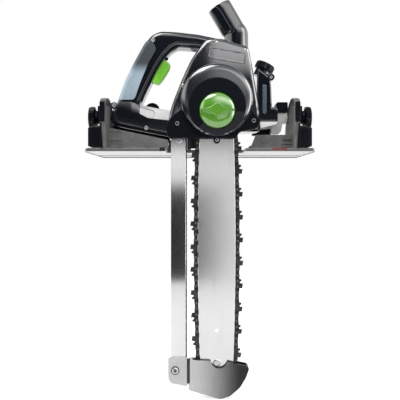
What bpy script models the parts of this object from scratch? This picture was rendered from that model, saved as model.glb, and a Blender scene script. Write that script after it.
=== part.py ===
"""Portable bar saw: a chain and guide bar on a head that tilts over a flat base plate.

Frame: +X runs along the cut to the right, +Y away from the sprocket cover,
+Z up. The origin is the centre of the base plate's underside.
"""
import math

import bmesh
import bpy
from mathutils import Matrix, Vector

MM = 0.001
GAP = 0.3 * MM
CUT_OVERRUN = 2 * MM

# Base plate
PLATE_END = 4.2 * MM
PLATE_WIDTH = 175 * MM
PLATE_THICK = 4.5 * MM
PLATE_CORNER = 7 * MM
BAR_SETBACK = 30 * MM
NOTCH_LEFT_GAP = 6.6 * MM
NOTCH_RIGHT_GAP = 0.65 * MM
NOTCH_BEHIND_BAR = 13 * MM
RAIL_GROOVE_SETBACK = 118 * MM
RAIL_GROOVE_WIDTH = 18 * MM
RAIL_GROOVE_DEPTH = 1.6 * MM
POINTER_LENGTH = 7 * MM
POINTER_WIDTH = 9 * MM
POINTER_THICK = 1.6 * MM

# Guide bar, measured down from the plate's underside
BAR_X = 23.5 * MM
BAR_THICK = 5 * MM
CUT_DEPTH = 330 * MM
BAR_END_HALF = 23.3 * MM
BAR_BULGE = 3 * MM
BAR_TAIL_TOP = 64 * MM
BAR_GROOVE = 1.7 * MM
BAR_GROOVE_DEPTH = 6.2 * MM
BAR_HOLE_RADIUS = 2.6 * MM
BAR_HOLE_ABOVE_NOSE = 45 * MM
NOSE_RIVET_RADIUS = 3 * MM
NOSE_RIVET_HEAD = 5.6 * MM
RIVET_HEAD_THICK = 1.2 * MM
BAR_STEPS = 6

# Saw chain
CHAIN_PITCH = 8.255 * MM
STRAP_HALF_HEIGHT = 2.9 * MM
STRAP_THICK = 1.3 * MM
DRIVE_THICK = 1.3 * MM
TANG_DEPTH = 7.3 * MM
CUTTER_HEIGHT = 7.8 * MM
CUTTER_REACH = 2.5 * MM
RAIL_RUNNING_GAP = 0.35 * MM

# Drive
SPINDLE_Z = 84 * MM
SPROCKET_TEETH = 7
SPROCKET_THICK = 6 * MM
GEAR_MODULE = 1.2 * MM
GEAR_TEETH = 36
PINION_TEETH = 9
GEAR_THICK = 9 * MM
PINION_EXTRA = 1.5 * MM
SPINDLE_RADIUS = 5 * MM
SHAFT_RADIUS = 3.6 * MM
SHAFT_FAT_RADIUS = 5 * MM
BEARING_OUTER = 11 * MM
BEARING_WIDTH = 7 * MM
BEARING_CLEARANCE = 0.3 * MM
NOSE_WHEEL_TEETH = 10
NOSE_WHEEL_RADIUS = 14 * MM
NOSE_WHEEL_THICK = 1.1 * MM

# Sprocket cover
HUMP_Z = 71.4 * MM
HUMP_RADIUS = 49.7 * MM
HUMP_EDGE = 11 * MM
HUMP_DEPTH = 35 * MM
WING_DEPTH = 17 * MM
COVER_WALL = 3.2 * MM
COVER_BOTTOM = 19 * MM
WING_LEFT_GAP = 3.1 * MM
WING_RIGHT = 60.5 * MM
WING_HEIGHT = 46 * MM
COVER_EDGE = 2.5 * MM
LOBE_RADIUS = 4.1 * MM
KNOB_Z = 55.4 * MM
KNOB_RADIUS = 24.3 * MM
KNOB_DEPTH = 15 * MM
KNOB_RIM = 2.2 * MM
KNOB_SEAT = 1.2 * MM
KNOB_BOSS_RADIUS = 7.5 * MM
KNOB_GRIP_HEIGHT = 5.5 * MM
STUD_RADIUS = 4 * MM

# Gear housing and motor
HOUSING_DEPTH = 50 * MM
HOUSING_LEFT = 45 * MM
HOUSING_RIGHT = 86 * MM
HOUSING_BOTTOM = 30 * MM
HOUSING_HEIGHT = 133.5 * MM
HOUSING_CORNER = 7 * MM
HOUSING_EDGE = 4 * MM
HOUSING_WALL = 4 * MM
MOTOR_RADIUS = 44 * MM
MOTOR_WALL = 3 * MM
MOTOR_LENGTH = 82 * MM
MOTOR_CAP_LENGTH = 18 * MM
MOTOR_EDGE = 5 * MM
FIELD_RADIUS = 36 * MM
FIELD_LENGTH = 44 * MM
CORE_RADIUS = 22 * MM
COMMUTATOR_RADIUS = 12 * MM
COMMUTATOR_LENGTH = 12 * MM
FAN_RADIUS = 34 * MM
FAN_THICK = 9 * MM
FAN_BLADES = 12
AIR_GAP = 1 * MM
VENT_SLOTS = 4
VENT_WIDTH = 3.4 * MM
BRUSH_SIZE = 7 * MM

# Handle, a C that closes on the gear housing
HANDLE_END_GAP = 1 * MM
HANDLE_RIGHT = 21.5 * MM
HANDLE_DROP = 7.1 * MM
HANDLE_RISE = 18.8 * MM
HANDLE_DEPTH = 40 * MM
HANDLE_FRONT_SETBACK = 12.5 * MM
HANDLE_CORNER = 9 * MM
HANDLE_EDGE = 6 * MM
PAD_DEPTH = 2 * MM
PAD_CROWN = 0.8 * MM
LUG_RADIUS = 4.8 * MM
SCREW_RADIUS = 3.2 * MM
SCREW_DEPTH = 6 * MM
SCREW_SOCKET = 1.6 * MM
TRIGGER_LENGTH = 37 * MM
TRIGGER_WIDTH = 15 * MM
TRIGGER_PROUD = 12.5 * MM
TRIGGER_TOP_GAP = 2.3 * MM
TRIGGER_INSIDE = 6 * MM
TRIGGER_TRAVEL = 5 * MM
LOCK_RADIUS = 2.4 * MM
LOCK_PROUD = 3 * MM
LOCK_INSIDE = 6 * MM
LOCK_TRAVEL = 3 * MM
DIAL_RADIUS = 11 * MM
DIAL_WIDTH = 9 * MM
DIAL_PROUD = 8.5 * MM
SWITCH_SIZE = 16 * MM

# Tilt joint
QUARTER_TURN_DEG = 90
TILT_MAX_DEG = 60
STUD_REST_DEG = 40
STUD_ARC_RADIUS = 69.5 * MM
SEGMENT_THICK = 8 * MM
SEGMENT_RIM = 6.5 * MM
SEGMENT_REAR = 66 * MM
SLOT_CLEARANCE = 0.35 * MM
SLOT_STEPS = 10
SHOE_THICK = 13 * MM
SHOE_WIDTH = 17 * MM
SHOE_HEIGHT = 26 * MM
CLAMP_KNOB_RADIUS = 17.4 * MM
CLAMP_KNOB_THICK = 13 * MM
CLAMP_KNOB_LOBES = 8
CLAMP_KNOB_DIP = 1.3 * MM
COVER_PLATE_THICK = 17 * MM
COVER_PLATE_HEIGHT = 38 * MM
COVER_PLATE_WIDTH = 56 * MM
FOOT_THICK = 8 * MM
FOOT_DEPTH = 42 * MM
FOOT_FLANGE = 5 * MM
LEFT_FOOT_OVERHANG = 3 * MM
RIGHT_FOOT_SETBACK = 9 * MM
LEFT_FOOT_HEIGHT = 36 * MM
LEFT_FOOT_LOW = 18 * MM
LEFT_FOOT_SLANT = 1 * MM
RIGHT_FOOT_SLANT = 8.3 * MM
RIGHT_FOOT_HEIGHT = 25 * MM
FOOT_BOSS_RADIUS = 4.7 * MM
FOOT_BOSS_PROUD = 1.2 * MM
FOOT_RIB = 3 * MM

# Right arm
ARM_THICK = 13 * MM
ARM_SETBACK = 39 * MM
ARM_BLOCK_LENGTH = 17 * MM
ARM_BLOCK_HEIGHT = 15 * MM
ARM_BLOCK_DEPTH = 30 * MM
ARM_OVER_STUD = 6.5 * MM
ARM_PAD_WIDTH = 19 * MM
ARM_PAD_HEIGHT = 30 * MM
ARM_PAD_DEPTH = 18 * MM
ARM_PAD_REACH = 24 * MM

# Dust spout
SPOUT_RADIUS = 17.5 * MM
SPOUT_WALL = 2.6 * MM
SPOUT_X = 52.5 * MM
SPOUT_SINK = 5 * MM
SPOUT_RISE = 12 * MM
SPOUT_LENGTH = 40 * MM
SPOUT_LEAN_DEG = 30
SPOUT_SIDES = 14
SPOUT_FLOOR = 10 * MM

# Oil tank
TANK_DEPTH = 34 * MM
TANK_SETBACK = 12 * MM
TANK_CORNER = 3 * MM
TANK_STEP = 1.2 * MM
TANK_END_GAP = 17.3 * MM
TANK_BOTTOM = 44.4 * MM
TANK_WIDTH = 24 * MM
TANK_HEIGHT = 77 * MM
CAP_RADIUS = 14 * MM
CAP_HEIGHT = 11 * MM
CAP_RIBS = 14
CAP_RIB_DIP = 0.9 * MM
CAP_LEAN_DEG = 25
NECK_RADIUS = 10 * MM
NECK_HEIGHT = 5 * MM
WINDOW_WIDTH = 6 * MM
WINDOW_HEIGHT = 42 * MM
WINDOW_DEPTH = 2.5 * MM

# Support strip, tip shoe and chain catcher
STRIP_GAP = 4.45 * MM
STRIP_WIDTH = 22.6 * MM
STRIP_THICK = 4 * MM
STRIP_TOP = 44 * MM
STRIP_CHAMFER = 2 * MM
BRACKET_STEP = 2.6 * MM
BRACKET_HEIGHT = 40 * MM
BRACKET_EXTRA = 4 * MM
SHEET = 2.5 * MM
SHOE_ROOM = 2.55 * MM
SHOE_TOTAL_WIDTH = 84.5 * MM
SHOE_TOTAL_HEIGHT = 54.6 * MM
SHOE_RISE = 39.9 * MM
SHOE_HALF_DEPTH = 9 * MM
SHOE_NOTCH_RADIUS = 12 * MM
SHOE_NOTCH_X = 3 * MM
STRIP_SCREW_RADIUS = 4.5 * MM
SCREW_HEAD_THICK = 2 * MM
CATCHER_TOP = 44 * MM
CATCHER_BOTTOM = 3.5 * MM
CATCHER_THICK = 6.5 * MM
CHAIN_CLEARANCE = 1 * MM

# Places worked out from the sizes above
HOUSING_WIDTH = HOUSING_LEFT + HOUSING_RIGHT
TANK_LEFT = HOUSING_RIGHT + TANK_STEP
SEGMENT_INNER = TANK_LEFT + TANK_WIDTH + TANK_END_GAP
PLATE_LENGTH = 2 * (SEGMENT_INNER + SEGMENT_THICK + GAP + COVER_PLATE_THICK + PLATE_END)
SEGMENT_RADIUS = STUD_ARC_RADIUS + SEGMENT_RIM
HANDLE_LEFT = SEGMENT_INNER - HANDLE_END_GAP
HANDLE_LENGTH = HANDLE_LEFT + HANDLE_RIGHT
HANDLE_BOTTOM = HOUSING_BOTTOM - HANDLE_DROP
HANDLE_HEIGHT = HOUSING_HEIGHT + HANDLE_RISE
SPOUT_BASE_Z = HOUSING_BOTTOM + HOUSING_HEIGHT - SPOUT_SINK
BAR_Y = BAR_SETBACK - PLATE_WIDTH / 2
HOUSING_FRONT = BAR_Y + BAR_THICK / 2 + GAP
HOUSING_REAR = HOUSING_FRONT + HOUSING_DEPTH
NOSE_Z = -(CUT_DEPTH - CUTTER_HEIGHT - STRAP_HALF_HEIGHT - RAIL_RUNNING_GAP - BAR_END_HALF)
RIVET_OFFSET = STRAP_HALF_HEIGHT + RAIL_RUNNING_GAP
CHAIN_REACH = BAR_END_HALF + BAR_BULGE + RIVET_OFFSET + CUTTER_HEIGHT
STRIP_LEFT = CHAIN_REACH + STRIP_GAP + STRIP_WIDTH
NOTCH_LEFT = STRIP_LEFT + NOTCH_LEFT_GAP
NOTCH_RIGHT = CHAIN_REACH + NOTCH_RIGHT_GAP
WING_LEFT = STRIP_LEFT + WING_LEFT_GAP
BRACKET_WIDTH = STRIP_WIDTH + BRACKET_EXTRA
SHOE_LEFT = CHAIN_REACH - BAR_BULGE + SHEET + SHOE_ROOM
SHOE_TOP = CUT_DEPTH - SHOE_RISE
BRACKET_TOP = SHOE_TOP - BRACKET_STEP
SPROCKET_PITCH_RADIUS = SPROCKET_TEETH * CHAIN_PITCH / math.pi
ARMATURE_Z = SPINDLE_Z + GEAR_MODULE * (GEAR_TEETH + PINION_TEETH) / 2
MOTOR_REAR = HOUSING_REAR + GAP + MOTOR_LENGTH
HANDLE_FRONT = BAR_Y + HANDLE_FRONT_SETBACK
HANDLE_REAR = HANDLE_FRONT + HANDLE_DEPTH
HANDLE_SPLIT = (HANDLE_FRONT + HANDLE_REAR) / 2
STUD_Y = BAR_Y + STUD_ARC_RADIUS * math.sin(math.radians(STUD_REST_DEG))
STUD_Z = STUD_ARC_RADIUS * math.cos(math.radians(STUD_REST_DEG))
SEGMENT_OUTER = SEGMENT_INNER + SEGMENT_THICK
SHOE_OUTER = SEGMENT_OUTER + GAP + SHOE_THICK
ARM_HEIGHT = STUD_Z + ARM_OVER_STUD - HOUSING_BOTTOM - FOOT_RIB
CLAMP_KNOB_INNER = SHOE_OUTER + 2 * GAP
WING_FRONT = HOUSING_FRONT - GAP - WING_DEPTH
HUMP_FRONT = HOUSING_FRONT - GAP - HUMP_DEPTH
TILT_PIVOT = Vector((0, BAR_Y, 0))

# Outlines, as shares of the width and height of the piece
HANDLE_OUTER_SHARES = (
    (0.068, 0.347), (0.136, 0.535), (0.232, 0.723), (0.327, 0.892), (0.395, 0.967),
    (0.472, 1.0), (0.615, 0.995), (0.84, 0.97), (0.97, 0.935), (0.97, 0.86),
    (0.832, 0.836), (0.644, 0.85), (0.587, 0.821), (0.52, 0.751), (0.443, 0.629),
    (0.356, 0.451), (0.289, 0.31), (0.327, 0.296), (0.545, 0.255), (0.545, 0.005),
    (0.376, 0.038), (0.136, 0.085), (0.021, 0.113), (0.0, 0.169), (0.0, 0.235),
)
HANDLE_CORNER_SHARES = (
    0.5, 0.5, 0.5, 1.0, 1.0, 1.0, 1.0, 0.5, 0.15, 0.15,
    0.3, 1.0, 0.8, 0.5, 0.5, 0.5, 0.6, 0.5, 0.15, 0.15,
    0.5, 0.5, 0.8, 0.5, 0.4,
)
PAD_SHARES = (
    (0.105, 0.365), (0.16, 0.52), (0.25, 0.7), (0.345, 0.845), (0.41, 0.885),
    (0.435, 0.82), (0.355, 0.69), (0.27, 0.5), (0.215, 0.36),
)
HOUSING_SHARES = (
    (0.0, 0.0), (1.0, 0.0), (1.0, 0.1), (0.98, 0.28), (0.884, 0.861), (0.862, 0.914),
    (0.58, 1.0), (0.419, 1.0), (0.322, 0.884), (0.237, 0.757), (0.138, 0.545),
    (0.041, 0.3), (0.0, 0.142),
)
WING_SHARES = (
    (0.0, 0.0), (0.74, 0.0), (0.77, 0.19), (0.97, 0.31), (1.0, 0.5), (0.97, 0.68),
    (0.92, 0.84), (0.8, 1.0), (0.5, 1.0), (0.16, 0.96), (0.12, 0.84), (0.04, 0.7),
    (-0.02, 0.45), (-0.02, 0.2),
)
TANK_SHARES = (
    (-0.12, 0.0), (1.0, 0.0), (1.0, 0.27), (0.66, 0.27), (0.62, 0.66), (0.56, 0.83),
    (-0.17, 1.0), (-0.22, 0.9), (-0.26, 0.4),
)
TIP_SHOE_SHARES = (
    (0.0, 0.987), (0.0, 0.23), (0.52, 0.0), (0.685, 0.076), (0.85, 0.295),
    (0.95, 0.551), (1.0, 0.769), (0.975, 0.846), (0.65, 0.949), (0.04, 1.0),
)
BRACKET_SHARES = (
    (0.0, 1.0), (0.0, 0.24), (0.14, 0.09), (1.0, -0.02), (1.0, 1.0),
)
STRAP_SHARES = (
    (0.7, -1.0), (0.87, 0.0), (0.7, 1.0), (-0.7, 1.0), (-0.87, 0.0), (-0.7, -1.0),
)
DRIVE_SHARES = (
    (0.6, 0.3), (-0.6, 0.3), (-0.6, -0.3), (-0.15, -1.0), (0.15, -1.0), (0.6, -0.3),
)
CUTTER_SHARES = (
    (0.6, -0.25), (0.8, 0.1), (0.76, 0.74), (0.48, 0.8), (0.36, 0.5),
    (0.12, 0.48), (0.02, 1.0), (-0.76, 0.93), (-0.8, 0.1), (-0.6, -0.25),
)
ARM_SHARES = (
    (0.0, 0.0), (0.6, 0.18), (1.0, 0.5), (1.0, 1.0), (0.74, 1.0), (0.6, 0.62), (0.0, 0.3),
)
ARM_PAD_SHARES = (
    (0.0, 0.0), (0.62, 0.0), (0.78, 0.12), (1.0, 0.85), (1.0, 1.0), (0.3, 1.0), (0.22, 0.5), (0.0, 0.4),
)
HANDLE_SLOPE_SHARES = (
    (0.064, 0.336, 0.04, 0.244), (0.198, 0.336, 0.15, 0.23), (0.279, 0.336, 0.3, 0.217), (0.359, 0.322, 0.55, 0.178),
    (0.66, 0.283, 0.6, 0.145),
)
HUMP_RING_SHARES = (
    (0.945, 0.927, 0.0), (0.49, 0.627, 0.155), (0.17, 0.318, 0.336), (0.036, 0.1, 0.59), (0.0, 0.0, 1.0),
)
TRIGGER_SHARES = ((0, -0.3), (0.03, -0.75), (0.3, -0.92), (0.8, -1.0), (0.97, -0.8), (1, -0.3))

COLOURS = {
    "housing": ((0.028, 0.034, 0.042), 0.38, 0),
    "cover": ((0.018, 0.021, 0.025), 0.5, 0),
    "grip": ((0.09, 0.11, 0.125), 0.7, 0),
    "green": ((0.2, 0.55, 0.02), 0.35, 0),
    "steel": ((0.56, 0.56, 0.57), 0.3, 1),
    "dark_steel": ((0.06, 0.06, 0.062), 0.45, 1),
    "aluminium": ((0.42, 0.42, 0.42), 0.45, 1),
    "casting": ((0.2, 0.2, 0.195), 0.6, 1),
    "rubber": ((0.02, 0.02, 0.022), 0.8, 0),
    "copper": ((0.72, 0.33, 0.16), 0.4, 1),
    "red": ((0.55, 0.03, 0.02), 0.5, 0),
    "window": ((0.4, 0.52, 0.58), 0.2, 0),
}


def material(slot):
    found = bpy.data.materials.get(slot)
    if found:
        return found
    colour, roughness, metallic = COLOURS[slot]
    made = bpy.data.materials.new(slot)
    made.use_nodes = True
    shader = made.node_tree.nodes["Principled BSDF"]
    shader.inputs["Base Color"].default_value = (*colour, 1)
    shader.inputs["Roughness"].default_value = roughness
    shader.inputs["Metallic"].default_value = metallic
    return made


def finish(name, mesh_data, slot, pivot=None):
    """Make an object of a bmesh; its origin goes to the pivot, under the tilt axis if it rides the head."""
    bmesh.ops.recalc_face_normals(mesh_data, faces=mesh_data.faces)
    origin = Vector(pivot) if pivot is not None else Vector((0, 0, 0))
    bmesh.ops.translate(mesh_data, verts=mesh_data.verts, vec=-origin)
    mesh = bpy.data.meshes.new(name)
    mesh_data.to_mesh(mesh)
    mesh_data.free()
    obj = bpy.data.objects.new(name, mesh)
    bpy.context.scene.collection.objects.link(obj)
    obj.location = origin
    if slot is None:
        obj.hide_render = True
        obj.display_type = "WIRE"
    else:
        mesh.materials.append(material(slot))
        mesh.shade_smooth()
        mesh.set_sharp_from_angle(angle=math.radians(35))
    return obj


def on_axis(axis, a, b, t):
    """A point (a, b) of an outline at t along its axis: X takes (y, z), Y takes (x, z), Z takes (x, y)."""
    return {"X": (t, a, b), "Y": (a, t, b), "Z": (a, b, t)}[axis]


def loft(mesh_data, loops, closed_ring=False):
    """Skin loops of as many points each; cap the two ends, or join them into a ring."""
    rows = [[mesh_data.verts.new(point) for point in loop] for loop in loops]
    count = len(rows[0])
    pairs = list(zip(rows, rows[1:]))
    if closed_ring:
        pairs.append((rows[-1], rows[0]))
    else:
        mesh_data.faces.new(rows[0])
        mesh_data.faces.new(rows[-1])
    for low, high in pairs:
        for i in range(count):
            j = (i + 1) % count
            mesh_data.faces.new((low[i], low[j], high[j], high[i]))


def prism(mesh_data, outline, axis, low, high):
    """Extrude an outline along an axis."""
    loft(mesh_data, [[on_axis(axis, a, b, place) for a, b in outline] for place in (low, high)])


def turned(mesh_data, profile, axis, a0, b0, sides, phase=0):
    """Lathe a profile of (radius, place along the axis) points about an axis through (a0, b0)."""
    loops = []
    for radius, t in profile:
        loops.append([
            on_axis(axis, a0 + radius * math.cos(angle), b0 + radius * math.sin(angle), t)
            for angle in angles(sides, phase)
        ])
    loft(mesh_data, loops)


def angles(sides, phase=0):
    return [phase + math.tau * i / sides for i in range(sides)]


def circle(a0, b0, radius, sides, phase=0):
    return [
        (a0 + radius * math.cos(angle), b0 + radius * math.sin(angle))
        for angle in angles(sides, phase)
    ]


def rectangle(left, right, low, high):
    return [(left, low), (right, low), (right, high), (left, high)]


def shared(shares, left, low, width, height):
    """An outline from shares of a width and a height."""
    return [(left + a * width, low + b * height) for a, b in shares]


def area(outline):
    return sum(
        a[0] * b[1] - b[0] * a[1] for a, b in zip(outline, outline[1:] + outline[:1])
    ) / 2


def inset(outline, distance):
    """Move every side of an outline inwards by a distance."""
    turn = 1 if area(outline) > 0 else -1
    moved = []
    for before, here, after in zip(outline[-1:] + outline[:-1], outline, outline[1:] + outline[:1]):
        first = (Vector(here) - Vector(before)).normalized()
        second = (Vector(after) - Vector(here)).normalized()
        first_in = Vector((-first.y, first.x)) * turn
        second_in = Vector((-second.y, second.x)) * turn
        middle = first_in + second_in
        moved.append(tuple(Vector(here) + middle * (2 * distance / middle.length_squared)))
    return moved


def rounded(outline, radius, steps=3, corner_shares=None):
    """Round the corners of an outline, no further than a third of the sides beside them."""
    made = []
    count = len(outline)
    for i, here in enumerate(outline):
        here = Vector(here)
        to_before = Vector(outline[i - 1]) - here
        to_after = Vector(outline[(i + 1) % count]) - here
        share = corner_shares[i] if corner_shares else 1
        reach = min(radius * share, to_before.length * 0.4, to_after.length * 0.4)
        start = here + to_before.normalized() * reach
        end = here + to_after.normalized() * reach
        for step in range(steps + 1):
            t = step / steps
            made.append(tuple(start * (1 - t) ** 2 + here * (2 * t * (1 - t)) + end * t ** 2))
    return made


def eased(raw, radius, drawn=0, steps=3, corner_shares=None):
    """A rounded outline drawn in by a distance, with as many points as the one it came from."""
    shape = inset(raw, drawn) if drawn else raw
    return rounded(shape, max(radius - drawn, radius / 3), steps, corner_shares)


def eased_prism(mesh_data, raw, radius, axis, low, high, edge, steps=2, corner_shares=None):
    """Extrude a rounded outline, with a chamfer at its low end."""
    turn = 1 if high > low else -1
    places = ((edge, low), (0, low + turn * edge), (0, high))
    loft(mesh_data, [
        [on_axis(axis, a, b, place) for a, b in eased(raw, radius, drawn, steps, corner_shares)]
        for drawn, place in places
    ])


def cut(target, cutter, operation="DIFFERENCE"):
    """Cut with, or join, a hidden helper."""
    modifier = target.modifiers.new(cutter.name, "BOOLEAN")
    modifier.operation = operation
    modifier.solver = "EXACT"
    modifier.object = cutter


def helper(name, build, *arguments, **settings):
    """A hidden cutter made by one of the shape functions."""
    mesh_data = bmesh.new()
    build(mesh_data, *arguments, **settings)
    return finish(name, mesh_data, None)


def solid(name, slot, build, *arguments, pivot=None, **settings):
    mesh_data = bmesh.new()
    build(mesh_data, *arguments, **settings)
    return finish(name, mesh_data, slot, pivot)


def base_plate():
    """The flat plate with its open notch, the groove of the guide rail and two red pointers."""
    half_length, half_width = PLATE_LENGTH / 2, PLATE_WIDTH / 2
    notch_left, notch_right = BAR_X - NOTCH_LEFT, BAR_X + NOTCH_RIGHT
    notch_rear = BAR_Y + NOTCH_BEHIND_BAR
    outline = [
        (-half_length, -half_width), (notch_left, -half_width), (notch_left, notch_rear),
        (notch_right, notch_rear), (notch_right, -half_width), (half_length, -half_width),
        (half_length, half_width), (-half_length, half_width),
    ]
    corners = (1, 0.3, 0.6, 0.6, 0.3, 1, 1, 1)
    plate = solid("base_plate", "aluminium", prism, rounded(outline, PLATE_CORNER, 3, corners), "Z", 0, PLATE_THICK)
    groove_y = RAIL_GROOVE_SETBACK - half_width
    cut(plate, helper(
        "cut_rail_groove", prism, rectangle(groove_y, groove_y + RAIL_GROOVE_WIDTH, -CUT_OVERRUN, RAIL_GROOVE_DEPTH),
        "X", -half_length - CUT_OVERRUN, half_length + CUT_OVERRUN,
    ))
    for side, name in ((-1, "cut_pointer_left"), (1, "cut_pointer_right")):
        near, far = sorted((side * half_length, side * (half_length - POINTER_LENGTH)))
        solid(
            name, "red", prism, rectangle(near, far, BAR_Y - POINTER_WIDTH / 2, BAR_Y + POINTER_WIDTH / 2),
            "Z", PLATE_THICK + GAP, PLATE_THICK + GAP + POINTER_THICK,
        )


def arc_point(degrees, radius):
    """A point at an angle from straight up over the tilt axis, positive towards +Y."""
    angle = math.radians(degrees)
    return BAR_Y + radius * math.sin(angle), radius * math.cos(angle)


def segment_slot(clearance):
    """The outline of the arc slot, which starts at the stud and runs back to the full tilt."""
    half = STUD_RADIUS + clearance
    ends = (STUD_REST_DEG, STUD_REST_DEG - TILT_MAX_DEG)
    outline = []
    for step in range(SLOT_STEPS + 1):
        degrees = ends[0] + (ends[1] - ends[0]) * step / SLOT_STEPS
        outline.append(arc_point(degrees, STUD_ARC_RADIUS + half))
    for centre, first in ((ends[1], QUARTER_TURN_DEG - ends[1]), (ends[0], -QUARTER_TURN_DEG - ends[0])):
        y, z = arc_point(centre, STUD_ARC_RADIUS)
        if centre == ends[0]:
            for step in range(SLOT_STEPS + 1):
                degrees = ends[1] + (ends[0] - ends[1]) * step / SLOT_STEPS
                outline.append(arc_point(degrees, STUD_ARC_RADIUS - half))
        for step in range(1, 4):
            angle = math.radians(first + QUARTER_TURN_DEG * step / 2)
            outline.append((y + half * math.cos(angle), z + half * math.sin(angle)))
    return outline


def segment_outline():
    """The quadrant: straight sides up from the plate and an arc about the tilt axis on top."""
    bottom = PLATE_THICK + GAP
    front = BAR_Y - BAR_SETBACK
    rear = BAR_Y + SEGMENT_REAR
    outline = [(front, bottom), (rear, bottom)]
    first = math.degrees(math.asin(SEGMENT_REAR / SEGMENT_RADIUS))
    last = -math.degrees(math.asin(BAR_SETBACK / SEGMENT_RADIUS))
    for step in range(SLOT_STEPS + 1):
        outline.append(arc_point(first + (last - first) * step / SLOT_STEPS, SEGMENT_RADIUS))
    return outline


def segment(side, name, tip, foot_height, foot_low, slant):
    """A cast quadrant on a ribbed foot that reaches in to its tip, with an arc slot for the clamp stud."""
    def along(low, high):
        return (side * low, side * high) if side > 0 else (side * high, side * low)

    quadrant = solid(name, "casting", prism, segment_outline(), "X", *along(SEGMENT_INNER, SEGMENT_OUTER))
    bottom = PLATE_THICK + GAP
    foot_length = SEGMENT_INNER - tip
    web = [
        (side * (SEGMENT_INNER + SEGMENT_THICK / 2), bottom), (side * tip, bottom),
        (side * (tip + slant), foot_low), (side * (SEGMENT_INNER + SEGMENT_THICK / 2), foot_height),
    ]
    foot_rear = BAR_Y + FOOT_DEPTH
    pieces = [
        ("web", web, "Y", BAR_Y, BAR_Y + FOOT_THICK),
        ("flange", rectangle(*along(tip, SEGMENT_INNER + SEGMENT_THICK / 2), BAR_Y + FOOT_THICK / 2, foot_rear),
         "Z", bottom, bottom + FOOT_FLANGE),
    ]
    boss_x = side * (tip + foot_length * 0.36)
    boss_z = (bottom + foot_low) / 2 + foot_low / 12
    pieces.append(("boss", circle(boss_x, boss_z, FOOT_BOSS_RADIUS, 12), "Y",
                   BAR_Y - FOOT_BOSS_PROUD, BAR_Y + FOOT_THICK / 2))
    for i in range(3):
        rib_z = bottom + FOOT_FLANGE + (foot_height - bottom - 2 * FOOT_FLANGE) * i / 2
        rib_height = FOOT_RIB * (0.5 if i == 2 else 1)
        pieces.append((
            "rib%d" % i,
            rectangle(*along(SEGMENT_INNER - foot_length * 0.22, SEGMENT_INNER + SEGMENT_THICK / 2), rib_z - rib_height, rib_z),
            "Y", BAR_Y - FOOT_RIB, BAR_Y + FOOT_THICK / 2,
        ))
    for label, outline, axis, low, high in pieces:
        cut(quadrant, helper("join_%s_%s" % (name, label), prism, outline, axis, low, high), "UNION")
    cut(quadrant, helper(
        "cut_%s_slot" % name, prism, segment_slot(SLOT_CLEARANCE), "X",
        *along(SEGMENT_INNER - CUT_OVERRUN, SEGMENT_OUTER + CUT_OVERRUN),
    ))

    front = BAR_Y - BAR_SETBACK + FOOT_RIB
    cover_outline = rounded([
        (front, bottom), (front + COVER_PLATE_WIDTH, bottom), (front + COVER_PLATE_WIDTH, bottom + COVER_PLATE_HEIGHT / 2),
        (front + COVER_PLATE_WIDTH * 0.8, bottom + COVER_PLATE_HEIGHT * 0.8), (front + COVER_PLATE_WIDTH / 2, bottom + COVER_PLATE_HEIGHT * 0.88),
        (front, bottom + COVER_PLATE_HEIGHT * 0.8),
    ], CLAMP_KNOB_DIP * 3, 2)
    cover = bmesh.new()
    inner = SEGMENT_OUTER + GAP
    steps = (
        (0, inner), (0, inner + COVER_PLATE_THICK * 0.55),
        (CLAMP_KNOB_DIP * 2, inner + COVER_PLATE_THICK),
    )
    loops = []
    for drawn, place in steps:
        points = inset(cover_outline, drawn) if drawn else cover_outline
        loops.append([on_axis("X", y, max(z, bottom), side * place) for y, z in points])
    loft(cover, loops)
    finish("segment_cover_" + name.split("_")[1], cover, "cover")


def clamp(side, name):
    """The stud in the arm, the shoe that slides on the quadrant and the lobed knob outside."""
    def along(low, high):
        return (side * low, side * high) if side > 0 else (side * high, side * low)

    shoe = solid(
        "clamp_shoe_" + name, "cover", prism,
        rounded(rectangle(STUD_Y - SHOE_WIDTH / 2, STUD_Y + SHOE_WIDTH / 2, STUD_Z - SHOE_HEIGHT / 3, STUD_Z + SHOE_HEIGHT * 2 / 3),
                CLAMP_KNOB_DIP * 2, 2),
        "X", *along(SEGMENT_OUTER + GAP, SHOE_OUTER),
    )
    cut(shoe, helper(
        "cut_shoe_" + name, prism, circle(STUD_Y, STUD_Z, STUD_RADIUS + GAP, 12),
        "X", *along(SEGMENT_OUTER - CUT_OVERRUN, SHOE_OUTER + CUT_OVERRUN),
    ))
    knob = bmesh.new()
    outline = []
    for angle in angles(CLAMP_KNOB_LOBES * 2):
        radius = CLAMP_KNOB_RADIUS - CLAMP_KNOB_DIP * (0.5 - 0.5 * math.cos(CLAMP_KNOB_LOBES * angle))
        outline.append((STUD_Y + radius * math.cos(angle), STUD_Z + radius * math.sin(angle)))
    inner, outer = CLAMP_KNOB_INNER, CLAMP_KNOB_INNER + CLAMP_KNOB_THICK
    loops = [
        [on_axis("X", y, z, side * inner) for y, z in outline],
        [on_axis("X", y, z, side * (outer - CLAMP_KNOB_DIP * 2)) for y, z in outline],
        [on_axis("X", y, z, side * outer) for y, z in inset(outline, CLAMP_KNOB_DIP * 2)],
    ]
    loft(knob, loops)
    made = finish("clamp_knob_" + name, knob, "cover", (side * inner, STUD_Y, STUD_Z))
    cut(made, helper(
        "cut_knob_" + name, prism, circle(STUD_Y, STUD_Z, STUD_RADIUS + GAP, 12),
        "X", *along(inner - CUT_OVERRUN, outer - CLAMP_KNOB_DIP * 2),
    ))
    return made


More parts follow.
